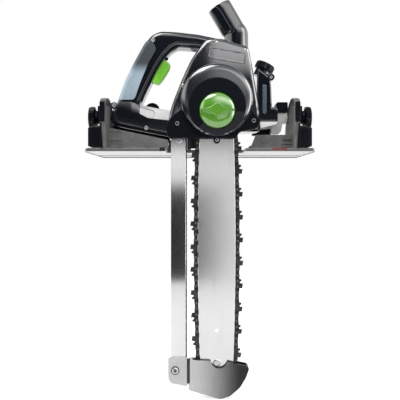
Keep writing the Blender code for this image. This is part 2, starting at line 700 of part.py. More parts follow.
def clamp_studs():
    """One threaded stud in each arm, out through the slot, the shoe and into the knob."""
    inner = SEGMENT_INNER - ARM_BLOCK_LENGTH * 0.7
    outer = CLAMP_KNOB_INNER + CLAMP_KNOB_THICK - CLAMP_KNOB_DIP * 2 - GAP
    for side, name in ((-1, "clamp_stud_left"), (1, "clamp_stud_right")):
        near, far = sorted((side * inner, side * outer))
        solid(
            name, "steel", prism, circle(STUD_Y, STUD_Z, STUD_RADIUS, 12), "X", near, far, pivot=TILT_PIVOT,
        )


def half_width(z):
    """Half the bar's width at a height, wider between its ends."""
    middle = (BAR_TAIL_TOP - BAR_END_HALF + NOSE_Z) / 2
    reach = (BAR_TAIL_TOP - BAR_END_HALF - NOSE_Z) / 2
    return BAR_END_HALF + BAR_BULGE * max(0, 1 - ((z - middle) / reach) ** 2)


def bar_outline():
    """Round nose, bowed sides and round tail."""
    tail_z = BAR_TAIL_TOP - BAR_END_HALF
    outline = []
    for step in range(2 * BAR_STEPS + 1):
        angle = math.pi * (1 + step / (2 * BAR_STEPS))
        outline.append((BAR_X + BAR_END_HALF * math.cos(angle), NOSE_Z + BAR_END_HALF * math.sin(angle)))
    heights = [NOSE_Z + (tail_z - NOSE_Z) * step / BAR_STEPS for step in range(1, BAR_STEPS)]
    outline += [(BAR_X + half_width(z), z) for z in heights]
    for step in range(2 * BAR_STEPS + 1):
        angle = math.pi * step / (2 * BAR_STEPS)
        outline.append((BAR_X + BAR_END_HALF * math.cos(angle), tail_z + BAR_END_HALF * math.sin(angle)))
    outline += [(BAR_X - half_width(z), z) for z in reversed(heights)]
    return outline


def guide_bar():
    """The bar with its groove round the rim, a slot for the stud, a hole and the nose wheel's pocket."""
    rim = bar_outline()
    core = inset(rim, BAR_GROOVE_DEPTH)
    half, slot = BAR_THICK / 2, BAR_GROOVE / 2
    bar = bmesh.new()
    places = ((rim, -half), (rim, -slot), (core, -slot), (core, slot), (rim, slot), (rim, half))
    loft(bar, [[on_axis("Y", x, z, BAR_Y + y) for x, z in outline] for outline, y in places])
    made = finish("guide_bar", bar, "steel", TILT_PIVOT)
    low, high = BAR_Y - half - CUT_OVERRUN, BAR_Y + half + CUT_OVERRUN
    width = STUD_RADIUS + SLOT_CLEARANCE
    slot_outline = [(BAR_X + a * width, KNOB_Z + b) for a, b in (
        (-1, -2 * width), (-0.7, -2.7 * width), (0.7, -2.7 * width), (1, -2 * width),
        (1, width / 3), (0.4, width), (-0.4, width), (-1, width / 3),
    )]
    cut(made, helper("cut_bar_slot", prism, slot_outline, "Y", low, high))
    hole_z = NOSE_Z + BAR_HOLE_ABOVE_NOSE
    cut(made, helper("cut_bar_hole", prism, circle(BAR_X, hole_z, BAR_HOLE_RADIUS, 14), "Y", low, high))
    cut(made, helper("cut_bar_rivet", prism, circle(BAR_X, NOSE_Z, NOSE_RIVET_RADIUS + GAP, 12), "Y", low, high))
    pocket = BAR_END_HALF - BAR_GROOVE_DEPTH / 2
    cut(made, helper("cut_nose_pocket", prism, circle(BAR_X, NOSE_Z, pocket, 24), "Y", BAR_Y - slot, BAR_Y + slot))

    rivet = bmesh.new()
    head = BAR_THICK / 2 + GAP
    turned(rivet, [
        (NOSE_RIVET_HEAD / 2, BAR_Y - head - RIVET_HEAD_THICK), (NOSE_RIVET_HEAD, BAR_Y - head),
        (NOSE_RIVET_RADIUS, BAR_Y - head), (NOSE_RIVET_RADIUS, BAR_Y + head),
        (NOSE_RIVET_HEAD, BAR_Y + head), (NOSE_RIVET_HEAD / 2, BAR_Y + head + RIVET_HEAD_THICK),
    ], "Y", BAR_X, NOSE_Z, 12)
    finish("nose_rivet", rivet, "steel", TILT_PIVOT)

    wheel = bmesh.new()
    outline = toothed(BAR_X, NOSE_Z, NOSE_WHEEL_TEETH, NOSE_WHEEL_RADIUS, NOSE_WHEEL_RADIUS * 0.78, 0.3, 0.14, 0)
    prism(wheel, outline, "Y", BAR_Y - NOSE_WHEEL_THICK / 2, BAR_Y + NOSE_WHEEL_THICK / 2)
    made = finish("nose_sprocket", wheel, "dark_steel", (BAR_X, BAR_Y, NOSE_Z))
    cut(made, helper("cut_nose_wheel", prism, circle(BAR_X, NOSE_Z, NOSE_RIVET_RADIUS + GAP, 12), "Y", low, high))


def toothed(a0, b0, teeth, tip, root, root_share, tip_share, phase):
    """A toothed outline: each tooth has a root and a tip pair, as shares of the tooth's angle either way."""
    outline = []
    for centre in angles(teeth, phase):
        pitch = math.tau / teeth
        for radius, share in ((root, -root_share), (tip, -tip_share), (tip, tip_share), (root, root_share)):
            angle = centre + share * pitch
            outline.append((a0 + radius * math.cos(angle), b0 + radius * math.sin(angle)))
    return outline


def chain_path():
    """Points of the rivets' line: down the left side, round the nose, up the right side, over the sprocket."""
    fine = 24
    tail_z = BAR_TAIL_TOP - BAR_END_HALF
    rail_radius = BAR_END_HALF + RIVET_OFFSET
    lean = math.asin((rail_radius - SPROCKET_PITCH_RADIUS) / (SPINDLE_Z - tail_z))
    heights = [tail_z + (NOSE_Z - tail_z) * step / fine for step in range(fine + 1)]

    def arc(z, radius, first, last, steps):
        turns = [first + (last - first) * step / steps for step in range(steps + 1)]
        return [Vector((BAR_X + radius * math.cos(turn), z + radius * math.sin(turn))) for turn in turns]

    path = arc(tail_z, rail_radius, math.pi - lean, math.pi, 2)
    path += [Vector((BAR_X - half_width(z) - RIVET_OFFSET, z)) for z in heights[1:-1]]
    path += arc(NOSE_Z, rail_radius, math.pi, math.tau, fine)
    path += [Vector((BAR_X + half_width(z) + RIVET_OFFSET, z)) for z in heights[-2:0:-1]]
    path += arc(tail_z, rail_radius, 0, lean, 2)
    path += arc(SPINDLE_Z, SPROCKET_PITCH_RADIUS, lean, math.pi - lean, fine)
    return path


def rivet_places():
    """Evenly spaced rivets, as many as a whole number of cutter repeats takes."""
    path = chain_path()
    lengths = [0]
    for before, here in zip(path, path[1:] + path[:1]):
        lengths.append(lengths[-1] + (here - before).length)
    total = lengths[-1]
    links = 4 * round(total / (8 * CHAIN_PITCH))
    rivets = []
    index = 0
    for step in range(2 * links):
        place = total * step / (2 * links)
        while lengths[index + 1] < place:
            index += 1
        share = (place - lengths[index]) / (lengths[index + 1] - lengths[index])
        rivets.append(path[index].lerp(path[(index + 1) % len(path)], share))
    return rivets


def chain():
    """Drive links on the rivets' line, pairs of straps over their ends, cutters left and right by turns."""
    rivets = rivet_places()
    count = len(rivets)
    drive = shared(DRIVE_SHARES, 0, 0, CHAIN_PITCH, TANG_DEPTH)
    strap = shared(STRAP_SHARES, 0, 0, CHAIN_PITCH, STRAP_HALF_HEIGHT)
    cutter = shared(CUTTER_SHARES, 0, 0, CHAIN_PITCH, CUTTER_HEIGHT)
    half = DRIVE_THICK / 2 + STRAP_THICK

    def place(mesh_data, outline, index, low, high):
        start, end = rivets[index], rivets[(index + 1) % count]
        along = (end - start).normalized()
        outward = Vector((along.y, -along.x))
        middle = (start + end) / 2
        points = [middle + along * u + outward * v for u, v in outline]
        prism(mesh_data, [tuple(point) for point in points], "Y", BAR_Y + low, BAR_Y + high)

    straps, drives, cutters = bmesh.new(), bmesh.new(), bmesh.new()
    for link in range(count // 2):
        place(straps, strap, 2 * link, -half, half)
        place(drives, drive, 2 * link + 1, -DRIVE_THICK / 2, DRIVE_THICK / 2)
        if link % 2:
            side = 1 if link % 4 == 1 else -1
            near, far = sorted((side * DRIVE_THICK, side * CUTTER_REACH))
            place(cutters, cutter, 2 * link, near, far)
    made = finish("saw_chain", straps, "dark_steel", TILT_PIVOT)
    cut(made, finish("join_drive_links", drives, None), "UNION")
    cut(made, finish("join_cutters", cutters, None), "UNION")


def strip_and_shoe():
    """The steel strip beside the bar, the folded shoe round the bar's tip and the chain catcher."""
    left = BAR_X - STRIP_LEFT
    right = left + STRIP_WIDTH
    front, rear = BAR_Y + BAR_THICK / 2 - STRIP_THICK, BAR_Y + BAR_THICK / 2
    bottom = -(BRACKET_TOP + BRACKET_HEIGHT * 0.85)
    section = [(left, front), (right - STRIP_CHAMFER, front), (right, front + STRIP_CHAMFER), (right, rear), (left, rear)]
    solid("support_strip", "steel", prism, section, "Z", bottom, STRIP_TOP, pivot=TILT_PIVOT)

    shoe_left, shoe_low = BAR_X - SHOE_LEFT, -(SHOE_TOP + SHOE_TOTAL_HEIGHT)
    outline = rounded(shared(TIP_SHOE_SHARES, shoe_left, shoe_low, SHOE_TOTAL_WIDTH, SHOE_TOTAL_HEIGHT), SHEET, 2)
    shoe = solid(
        "tip_shoe", "steel", prism, outline, "Y", BAR_Y - SHOE_HALF_DEPTH, BAR_Y + SHOE_HALF_DEPTH, pivot=TILT_PIVOT,
    )
    bracket_left, bracket_low = left - SHEET * 1.5, -(BRACKET_TOP + BRACKET_HEIGHT)
    bracket_front = front - GAP - SHEET
    bracket = rounded(shared(BRACKET_SHARES, bracket_left, bracket_low, BRACKET_WIDTH, BRACKET_HEIGHT), SHEET, 2)
    cut(shoe, helper("join_bracket", prism, bracket, "Y", bracket_front, front - GAP), "UNION")
    fold_left = bracket_left + BRACKET_WIDTH - SHEET
    shoe_front = BAR_Y - SHOE_HALF_DEPTH
    fold = [
        (fold_left, bracket_front), (fold_left, front - GAP), (shoe_left + SHEET * 1.5, shoe_front + SHEET),
        (shoe_left + SHEET, shoe_front),
    ]
    cut(shoe, helper(
        "join_fold", prism, fold, "Z", bracket_low + SHEET, -SHOE_TOP - SHEET / 2,
    ), "UNION")
    raw = shared(TIP_SHOE_SHARES[1:], shoe_left, shoe_low, SHOE_TOTAL_WIDTH, SHOE_TOTAL_HEIGHT)
    open_above = -SHOE_TOP - SHOE_TOTAL_HEIGHT / 4
    lift = [(x, z + SHEET * 3 if z > open_above else z) for x, z in inset(raw, SHEET)]
    cut(shoe, helper("cut_shoe_pocket", prism, lift, "Y", shoe_front + SHEET, BAR_Y + SHOE_HALF_DEPTH - SHEET))
    cut(shoe, helper(
        "cut_shoe_notch", prism, circle(BAR_X + SHOE_NOTCH_X, -SHOE_TOP, SHOE_NOTCH_RADIUS, 24), "Y",
        shoe_front - CUT_OVERRUN, shoe_front + SHEET + CUT_OVERRUN,
    ))

    screws = bmesh.new()
    screw_front = bracket_front - GAP
    screw_x = bracket_left + BRACKET_WIDTH * 0.37
    screw_z = bracket_low + BRACKET_HEIGHT * 0.54
    turned(screws, [
        (STRIP_SCREW_RADIUS * 0.7, screw_front - SCREW_HEAD_THICK), (STRIP_SCREW_RADIUS, screw_front - SCREW_HEAD_THICK / 2),
        (STRIP_SCREW_RADIUS, screw_front),
    ], "Y", screw_x, screw_z, 16)
    finish("shoe_screw", screws, "steel", TILT_PIVOT)

    strip_screw = bmesh.new()
    turned(strip_screw, [
        (STRIP_SCREW_RADIUS * 0.8, front - GAP - SCREW_HEAD_THICK), (STRIP_SCREW_RADIUS, front - GAP - SCREW_HEAD_THICK / 2),
        (STRIP_SCREW_RADIUS, front - GAP),
    ], "Y", (left + right) / 2, COVER_BOTTOM - STRIP_SCREW_RADIUS * 0.35, 16)
    finish("strip_screw", strip_screw, "steel", TILT_PIVOT)

    catcher_right = BAR_X - half_width(CATCHER_BOTTOM) - RIVET_OFFSET - CUTTER_HEIGHT - 2 * GAP
    catcher = rectangle(right + GAP, catcher_right, CATCHER_BOTTOM, CATCHER_TOP)
    solid(
        "chain_catcher", "rubber", prism, rounded(catcher, STRIP_CHAMFER / 2, 1), "Y",
        BAR_Y + BAR_THICK / 2 - CATCHER_THICK, BAR_Y + BAR_THICK / 2, pivot=TILT_PIVOT,
    )


def sprocket_cover():
    """A shell over the sprocket: a domed hump on a flatter wing plate, open behind and below."""
    rear = HOUSING_FRONT - GAP
    rings = [
        (HUMP_Z - HUMP_EDGE * drop, HUMP_RADIUS - HUMP_EDGE * drawn, HUMP_FRONT + HUMP_EDGE * depth)
        for drop, drawn, depth in HUMP_RING_SHARES
    ] + [(HUMP_Z, HUMP_RADIUS, rear)]
    cover = solid(
        "sprocket_cover", "cover", loft,
        [[on_axis("Y", x, z, y) for x, z in circle(BAR_X, centre, radius, 36)] for centre, radius, y in rings],
        pivot=TILT_PIVOT,
    )
    wing_left = BAR_X - WING_LEFT
    wings = shared(WING_SHARES, wing_left, COVER_BOTTOM, WING_LEFT + WING_RIGHT, WING_HEIGHT)
    cut(cover, helper("join_wings", eased_prism, wings, COVER_EDGE * 2, "Y", WING_FRONT, rear, COVER_EDGE), "UNION")
    lobe = circle(BAR_X, COVER_BOTTOM - LOBE_RADIUS / 2, LOBE_RADIUS, 16)
    lobe_front = HUMP_FRONT + HUMP_DEPTH * 0.55
    cut(cover, helper("join_lobe", prism, lobe, "Y", lobe_front, lobe_front + COVER_WALL), "UNION")
    floor = HUMP_RADIUS - COVER_WALL
    pocket = [(floor - HUMP_EDGE, HUMP_FRONT + COVER_WALL), (floor, HUMP_FRONT + COVER_WALL + HUMP_EDGE), (floor, rear + CUT_OVERRUN)]
    cut(cover, helper("cut_hump", turned, pocket, "Y", BAR_X, HUMP_Z, 24))
    reach = BAR_END_HALF + BAR_BULGE + RIVET_OFFSET + CUTTER_HEIGHT + CHAIN_CLEARANCE
    way = rectangle(BAR_X - reach, BAR_X + reach, COVER_BOTTOM - LOBE_RADIUS * 2, HUMP_Z)
    cut(cover, helper("cut_chain_way", prism, way, "Y", lobe_front + COVER_WALL, rear + CUT_OVERRUN))
    side = rectangle(BAR_X - STRIP_LEFT - GAP * 2, BAR_X - reach + CUT_OVERRUN, COVER_BOTTOM - CUT_OVERRUN, STRIP_TOP + GAP * 4)
    strip_front = BAR_Y + BAR_THICK / 2 - CATCHER_THICK - GAP * 2
    cut(cover, helper("cut_strip_way", prism, side, "Y", strip_front, rear + CUT_OVERRUN))
    cut(cover, helper(
        "cut_cover_stud", prism, circle(BAR_X, KNOB_Z, STUD_RADIUS + GAP, 12), "Y", HUMP_FRONT - CUT_OVERRUN, rear,
    ))
    cut(cover, helper(
        "cut_knob_seat", prism, circle(BAR_X, KNOB_Z, KNOB_RADIUS + GAP * 3, 28), "Y",
        HUMP_FRONT - CUT_OVERRUN, HUMP_FRONT + KNOB_SEAT,
    ))
    for index, (x, z) in enumerate(cover_screw_places()):
        cut(cover, helper(
            "cut_cover_screw%d" % index, prism, circle(x, z, SCREW_RADIUS + GAP, 12), "Y",
            WING_FRONT - CUT_OVERRUN, WING_FRONT + SCREW_SOCKET,
        ))
    stud = bmesh.new()
    turned(stud, [
        (STUD_RADIUS, HUMP_FRONT - KNOB_DEPTH / 2), (STUD_RADIUS, HOUSING_FRONT - GAP * 0.5),
    ], "Y", BAR_X, KNOB_Z, 12)
    finish("bar_stud", stud, "steel", TILT_PIVOT)


def cover_screw_places():
    return (
        (BAR_X - WING_LEFT + HOUSING_CORNER * 1.75, COVER_BOTTOM + WING_HEIGHT * 0.45),
        (BAR_X + WING_RIGHT - HOUSING_CORNER * 1.3, COVER_BOTTOM + WING_HEIGHT * 0.54),
    )


def cover_knob():
    """The green knob: a dished disc with a rim and one grip bar that swells round a centre boss."""
    front = HUMP_FRONT + KNOB_SEAT - GAP - KNOB_DEPTH
    rear = HUMP_FRONT + KNOB_SEAT - GAP
    dish = front + KNOB_GRIP_HEIGHT
    profile = [
        (KNOB_BOSS_RADIUS, dish + KNOB_RIM), (KNOB_RADIUS - 3 * KNOB_RIM, dish + KNOB_RIM), (KNOB_RADIUS - KNOB_RIM, dish),
        (KNOB_RADIUS, dish + KNOB_RIM), (KNOB_RADIUS, rear - KNOB_RIM), (KNOB_RADIUS - KNOB_RIM, rear),
    ]
    pivot = (BAR_X, HUMP_FRONT, KNOB_Z)
    knob = solid("cover_knob", "green", turned, profile, "Y", BAR_X, KNOB_Z, 28, pivot=pivot)
    half = KNOB_RADIUS - KNOB_RIM * 0.8
    waist = KNOB_BOSS_RADIUS * 0.42
    upper = []
    steps = 12
    for step in range(steps + 1):
        share = 2 * step / steps - 1
        swell = (KNOB_BOSS_RADIUS - waist) * math.exp(-(share * 3) ** 2) if abs(share) < 1 else 0
        upper.append((share * half, waist * (1 - 0.35 * abs(share)) + swell))
    outline = [(BAR_X + a, KNOB_Z + b) for a, b in upper] + [(BAR_X + a, KNOB_Z - b) for a, b in reversed(upper)]
    cut(knob, helper("join_knob_grip", prism, outline, "Y", front, dish + KNOB_RIM * 2), "UNION")
    cut(knob, helper(
        "cut_knob_bore", prism, circle(BAR_X, KNOB_Z, STUD_RADIUS + GAP, 12), "Y",
        HUMP_FRONT - KNOB_DEPTH / 2 - GAP, rear + CUT_OVERRUN,
    ))


def housing_corners():
    return shared(HOUSING_SHARES, -HOUSING_LEFT, HOUSING_BOTTOM, HOUSING_WIDTH, HOUSING_HEIGHT)


def around_housing():
    """The gear case's outline with the clearance its neighbours keep."""
    return inset(rounded(housing_corners(), HOUSING_CORNER, 2), -GAP)


def gear_housing():
    """The tapered gear case with pockets for the gear pair and bores for the bearings."""
    housing = solid(
        "gear_housing", "housing", eased_prism, housing_corners(), HOUSING_CORNER, "Y", HOUSING_FRONT, HOUSING_REAR,
        HOUSING_EDGE, pivot=TILT_PIVOT,
    )
    gear_low, gear_high = gear_span()
    room = GEAR_MODULE + AIR_GAP
    pocket_front = gear_low - PINION_EXTRA - AIR_GAP
    gear_room = GEAR_MODULE * GEAR_TEETH / 2 + room
    pinion_room = max(GEAR_MODULE * PINION_TEETH / 2 + room, BEARING_OUTER)
    rear = HOUSING_REAR + CUT_OVERRUN
    cut(housing, helper("cut_gear_room", prism, circle(BAR_X, SPINDLE_Z, gear_room, 32), "Y", pocket_front, rear))
    cut(housing, helper("cut_pinion_room", prism, circle(BAR_X, ARMATURE_Z, pinion_room, 24), "Y", pocket_front, rear))
    cut(housing, helper(
        "cut_spindle_bearing", prism, circle(BAR_X, SPINDLE_Z, BEARING_OUTER + BEARING_CLEARANCE, 24), "Y",
        HOUSING_FRONT + HOUSING_WALL / 2, pocket_front + CUT_OVERRUN,
    ))
    cut(housing, helper(
        "cut_spindle_way", prism, circle(BAR_X, SPINDLE_Z, SPINDLE_RADIUS + AIR_GAP, 16), "Y",
        HOUSING_FRONT - CUT_OVERRUN, HOUSING_FRONT + HOUSING_WALL,
    ))
    for index, (x, z) in enumerate(housing_screw_places()):
        cut(housing, helper(
            "cut_housing_screw%d" % index, prism, circle(x, z, SCREW_RADIUS + GAP, 12), "Y",
            HOUSING_FRONT - CUT_OVERRUN, HOUSING_FRONT + SCREW_SOCKET,
        ))


def housing_screw_places():
    """Two screws on the top corners and one on the left flank of the gear case."""
    edge = HOUSING_CORNER * 1.1
    return (
        (-HOUSING_LEFT + HOUSING_WIDTH * 0.53, HOUSING_BOTTOM + HOUSING_HEIGHT - edge),
        (-HOUSING_LEFT + HOUSING_WIDTH * 0.84, HOUSING_BOTTOM + HOUSING_HEIGHT * 0.86),
        (-HOUSING_LEFT + HOUSING_WIDTH * 0.17, HOUSING_BOTTOM + HOUSING_HEIGHT * 0.49),
    )


def gear_span():
    """Front and rear of the gear wheels along Y."""
    front = HOUSING_FRONT + HOUSING_WALL / 2 + BEARING_WIDTH + PINION_EXTRA + 2 * AIR_GAP + GAP
    return front, front + GEAR_THICK


def motor():
    """Motor case, vented end cap, and inside them the field core, armature, fan, pinion, brushes and bearings."""
    front = HOUSING_REAR + GAP
    case_profile = [
        (MOTOR_RADIUS - MOTOR_EDGE / 2, front), (MOTOR_RADIUS, front + MOTOR_EDGE), (MOTOR_RADIUS, MOTOR_REAR),
        (MOTOR_RADIUS - MOTOR_WALL, MOTOR_REAR), (MOTOR_RADIUS - MOTOR_WALL, front + MOTOR_WALL + GAP),
        (BEARING_OUTER + BEARING_CLEARANCE, front + MOTOR_WALL + GAP), (BEARING_OUTER + BEARING_CLEARANCE, front),
    ]
    case = bmesh.new()
    loops = [
        [on_axis("Y", BAR_X + radius * math.cos(angle), ARMATURE_Z + radius * math.sin(angle), t) for angle in angles(24)]
        for radius, t in case_profile
    ]
    loft(case, loops, closed_ring=True)
    made = finish("motor_housing", case, "housing", TILT_PIVOT)
    slot_low = MOTOR_REAR - MOTOR_LENGTH * 0.2
    for index in range(VENT_SLOTS):
        x = BAR_X + (index - (VENT_SLOTS - 1) / 2) * VENT_WIDTH * 2
        cut(made, helper(
            "cut_case_vent%d" % index, prism,
            rectangle(x - VENT_WIDTH / 2, x + VENT_WIDTH / 2, slot_low, MOTOR_REAR - MOTOR_EDGE), "Z",
            ARMATURE_Z, ARMATURE_Z + MOTOR_RADIUS + CUT_OVERRUN,
        ))

    cap_front, cap_rear = MOTOR_REAR + GAP, MOTOR_REAR + GAP + MOTOR_CAP_LENGTH
    cap = bmesh.new()
    bearing_front = cap_rear - MOTOR_WALL - BEARING_WIDTH
    cap_profile = [
        (MOTOR_RADIUS, cap_front), (MOTOR_RADIUS, cap_rear - MOTOR_EDGE), (MOTOR_RADIUS - MOTOR_EDGE, cap_rear),
        (MOTOR_WALL, cap_rear), (MOTOR_WALL, cap_rear - MOTOR_WALL + GAP), (BEARING_OUTER + BEARING_CLEARANCE, cap_rear - MOTOR_WALL + GAP),
        (BEARING_OUTER + BEARING_CLEARANCE, bearing_front), (BEARING_OUTER + MOTOR_WALL, bearing_front),
        (BEARING_OUTER + MOTOR_WALL, cap_rear - MOTOR_WALL), (MOTOR_RADIUS - MOTOR_WALL - MOTOR_EDGE, cap_rear - MOTOR_WALL),
        (MOTOR_RADIUS - MOTOR_WALL, cap_rear - MOTOR_EDGE), (MOTOR_RADIUS - MOTOR_WALL, cap_front),
    ]
    loops = [
        [on_axis("Y", BAR_X + radius * math.cos(angle), ARMATURE_Z + radius * math.sin(angle), t) for angle in angles(24)]
        for radius, t in cap_profile
    ]
    loft(cap, loops, closed_ring=True)
    made = finish("motor_end_cap", cap, "housing", TILT_PIVOT)
    for index in range(VENT_SLOTS):
        z = ARMATURE_Z + (index - (VENT_SLOTS - 1) / 2) * VENT_WIDTH * 2
        for side in (-1, 1):
            near, far = sorted((BAR_X + side * (BEARING_OUTER + 2 * MOTOR_WALL), BAR_X + side * (MOTOR_RADIUS - MOTOR_EDGE * 2)))
            cut(made, helper(
                "cut_cap_vent%d%s" % (index, "left" if side < 0 else "right"), prism,
                rectangle(near, far, z - VENT_WIDTH / 2, z + VENT_WIDTH / 2), "Y",
                cap_rear - MOTOR_WALL * 2, cap_rear + CUT_OVERRUN,
            ))

    shaft_pivot = (BAR_X, HOUSING_REAR, ARMATURE_Z)
    gear_low, gear_high = gear_span()
    front_bearing = front
    fan_front = front + MOTOR_WALL + BEARING_WIDTH + AIR_GAP
    core_front = fan_front + FAN_THICK + AIR_GAP * 4
    core_rear = core_front + FIELD_LENGTH
    comm_front = core_rear + AIR_GAP * 4
    comm_rear = comm_front + COMMUTATOR_LENGTH
    shaft_rear = bearing_front + BEARING_WIDTH - GAP
    armature = bmesh.new()
    turned(armature, [
        (SHAFT_RADIUS, gear_low - PINION_EXTRA), (SHAFT_RADIUS, front_bearing + BEARING_WIDTH + GAP),
        (SHAFT_FAT_RADIUS, front_bearing + BEARING_WIDTH + GAP), (SHAFT_FAT_RADIUS, core_front), (CORE_RADIUS, core_front),
        (CORE_RADIUS, core_rear), (SHAFT_FAT_RADIUS, core_rear), (SHAFT_FAT_RADIUS, comm_front),
        (COMMUTATOR_RADIUS, comm_front), (COMMUTATOR_RADIUS, comm_rear), (SHAFT_FAT_RADIUS, comm_rear),
        (SHAFT_FAT_RADIUS, bearing_front - GAP), (SHAFT_RADIUS, bearing_front - GAP), (SHAFT_RADIUS, shaft_rear),
    ], "Y", BAR_X, ARMATURE_Z, 14)
    finish("armature", armature, "copper", shaft_pivot)

    fan = bmesh.new()
    outline = toothed(BAR_X, ARMATURE_Z, FAN_BLADES, FAN_RADIUS, FAN_RADIUS * 0.45, 0.18, 0.1, 0)
    prism(fan, outline, "Y", fan_front, fan_front + FAN_THICK)
    made = finish("cooling_fan", fan, "cover", shaft_pivot)
    cut(made, helper(
        "cut_fan_bore", prism, circle(BAR_X, ARMATURE_Z, SHAFT_FAT_RADIUS + GAP, 20), "Y",
        fan_front - CUT_OVERRUN, fan_front + FAN_THICK + CUT_OVERRUN,
    ))

    bearing_ring("motor_bearing_front", BAR_X, ARMATURE_Z, front_bearing, SHAFT_RADIUS)
    bearing_ring("motor_bearing_rear", BAR_X, ARMATURE_Z, bearing_front + GAP / 2, SHAFT_RADIUS)
    field = bmesh.new()
    ring(field, BAR_X, ARMATURE_Z, CORE_RADIUS + AIR_GAP, MOTOR_RADIUS - MOTOR_WALL - GAP * 3, core_front, core_rear, 20)
    finish("field_core", field, "dark_steel", TILT_PIVOT)
    brush_middle = (comm_front + comm_rear) / 2
    for side, name in ((-1, "brush_holder_low"), (1, "brush_holder_top")):
        near, far = sorted((
            ARMATURE_Z + side * (COMMUTATOR_RADIUS + GAP),
            ARMATURE_Z + side * (MOTOR_RADIUS - MOTOR_WALL - GAP * 4),
        ))
        solid(
            name, "copper", prism, rectangle(BAR_X - BRUSH_SIZE / 2, BAR_X + BRUSH_SIZE / 2, near, far), "Y",
            brush_middle - BRUSH_SIZE / 2, brush_middle + BRUSH_SIZE / 2, pivot=TILT_PIVOT,
        )

    pinion = bmesh.new()
    pinion_radius = GEAR_MODULE * PINION_TEETH / 2
    outline = toothed(
        BAR_X, ARMATURE_Z, PINION_TEETH, pinion_radius + 0.8 * GEAR_MODULE, pinion_radius - 0.62 * GEAR_MODULE, 0.26, 0.07,
        -math.pi / 2,
    )
    prism(pinion, outline, "Y", gear_low - PINION_EXTRA, gear_high + PINION_EXTRA)
    made = finish("pinion", pinion, "dark_steel", shaft_pivot)
    cut(made, helper(
        "cut_pinion_bore", prism, circle(BAR_X, ARMATURE_Z, SHAFT_RADIUS + BEARING_CLEARANCE, 20), "Y",
        gear_low - PINION_EXTRA - CUT_OVERRUN, gear_high + PINION_EXTRA + CUT_OVERRUN,
    ))


def ring(mesh_data, a0, b0, inner, outer, low, high, sides):
    """A plain ring about an axis along Y."""
    loops = []
    for radius, t in ((inner, low), (outer, low), (outer, high), (inner, high)):
        loops.append([
            on_axis("Y", a0 + radius * math.cos(angle), b0 + radius * math.sin(angle), t) for angle in angles(sides)
        ])
    loft(mesh_data, loops, closed_ring=True)


def bearing_ring(name, x, z, front, bore):
    bearing = bmesh.new()
    ring(bearing, x, z, bore + BEARING_CLEARANCE, BEARING_OUTER, front + GAP / 2, front + BEARING_WIDTH - GAP / 2, 16)
    finish(name, bearing, "steel", TILT_PIVOT)


def spindle():
    """The spindle with its gear inside and the chain's drive sprocket outside the gear case."""
    pivot = (BAR_X, HOUSING_FRONT, SPINDLE_Z)
    gear_low, gear_high = gear_span()
    bearing_front = HOUSING_FRONT + HOUSING_WALL / 2 + GAP
    sprocket_front = BAR_Y - SPROCKET_THICK / 2
    turned_spindle = bmesh.new()
    turned(turned_spindle, [
        (SPINDLE_RADIUS, sprocket_front - SCREW_HEAD_THICK), (SPINDLE_RADIUS, gear_high + PINION_EXTRA),
    ], "Y", BAR_X, SPINDLE_Z, 20)
    finish("spindle", turned_spindle, "steel", pivot)
    bearing_ring("spindle_bearing", BAR_X, SPINDLE_Z, bearing_front, SPINDLE_RADIUS)

    gear = bmesh.new()
    gear_radius = GEAR_MODULE * GEAR_TEETH / 2
    outline = toothed(
        BAR_X, SPINDLE_Z, GEAR_TEETH, gear_radius + 0.55 * GEAR_MODULE, gear_radius - 0.95 * GEAR_MODULE, 0.27, 0.1,
        math.pi / 2 + math.pi / GEAR_TEETH,
    )
    prism(gear, outline, "Y", gear_low, gear_high)
    made = finish("spindle_gear", gear, "dark_steel", pivot)
    cut(made, helper(
        "cut_gear_bore", prism, circle(BAR_X, SPINDLE_Z, SPINDLE_RADIUS + BEARING_CLEARANCE, 20), "Y",
        gear_low - CUT_OVERRUN, gear_high + CUT_OVERRUN,
    ))

    wheel = bmesh.new()
    tip = SPROCKET_PITCH_RADIUS * math.cos(math.pi / SPROCKET_TEETH / 2) - TANG_DEPTH - 2 * GAP
    outline = toothed(BAR_X, SPINDLE_Z, SPROCKET_TEETH, tip, tip * 0.8, 0.3, 0.16, 0)
    prism(wheel, outline, "Y", sprocket_front, BAR_Y + BAR_THICK / 2 - GAP)
    made = finish("drive_sprocket", wheel, "dark_steel", pivot)
    cut(made, helper(
        "cut_sprocket_bore", prism, circle(BAR_X, SPINDLE_Z, SPINDLE_RADIUS + BEARING_CLEARANCE, 20), "Y",
        sprocket_front - CUT_OVERRUN, BAR_Y + BAR_THICK,
    ))


def handle_point(share_x, share_z):
    return -HANDLE_LEFT + share_x * HANDLE_LENGTH, HANDLE_BOTTOM + share_z * HANDLE_HEIGHT


def handle_screw_places():
    """At the top corner, in the lug at the lower left corner and in the lower arm."""
    return handle_point(0.405, 0.91), (-HANDLE_LEFT + LUG_RADIUS * 0.85, HANDLE_BOTTOM + HANDLE_HEIGHT * 0.3), handle_point(0.34, 0.085)


def grip_line():
    """Start, direction and inward normal of the trigger's edge of the grip."""
    low = Vector(handle_point(0.356, 0.451))
    high = Vector(handle_point(0.52, 0.751))
    along = (high - low).normalized()
    return low, along, Vector((-along.y, along.x)), (high - low).length


def across_grip(start, end, near, far):
    """A box in the handle's plane: from start to end along the trigger's edge, near to far into the grip."""
    low, along, inward, _ = grip_line()
    return [
        tuple(low + along * a + inward * b) for a, b in ((start, near), (end, near), (end, far), (start, far))
    ]


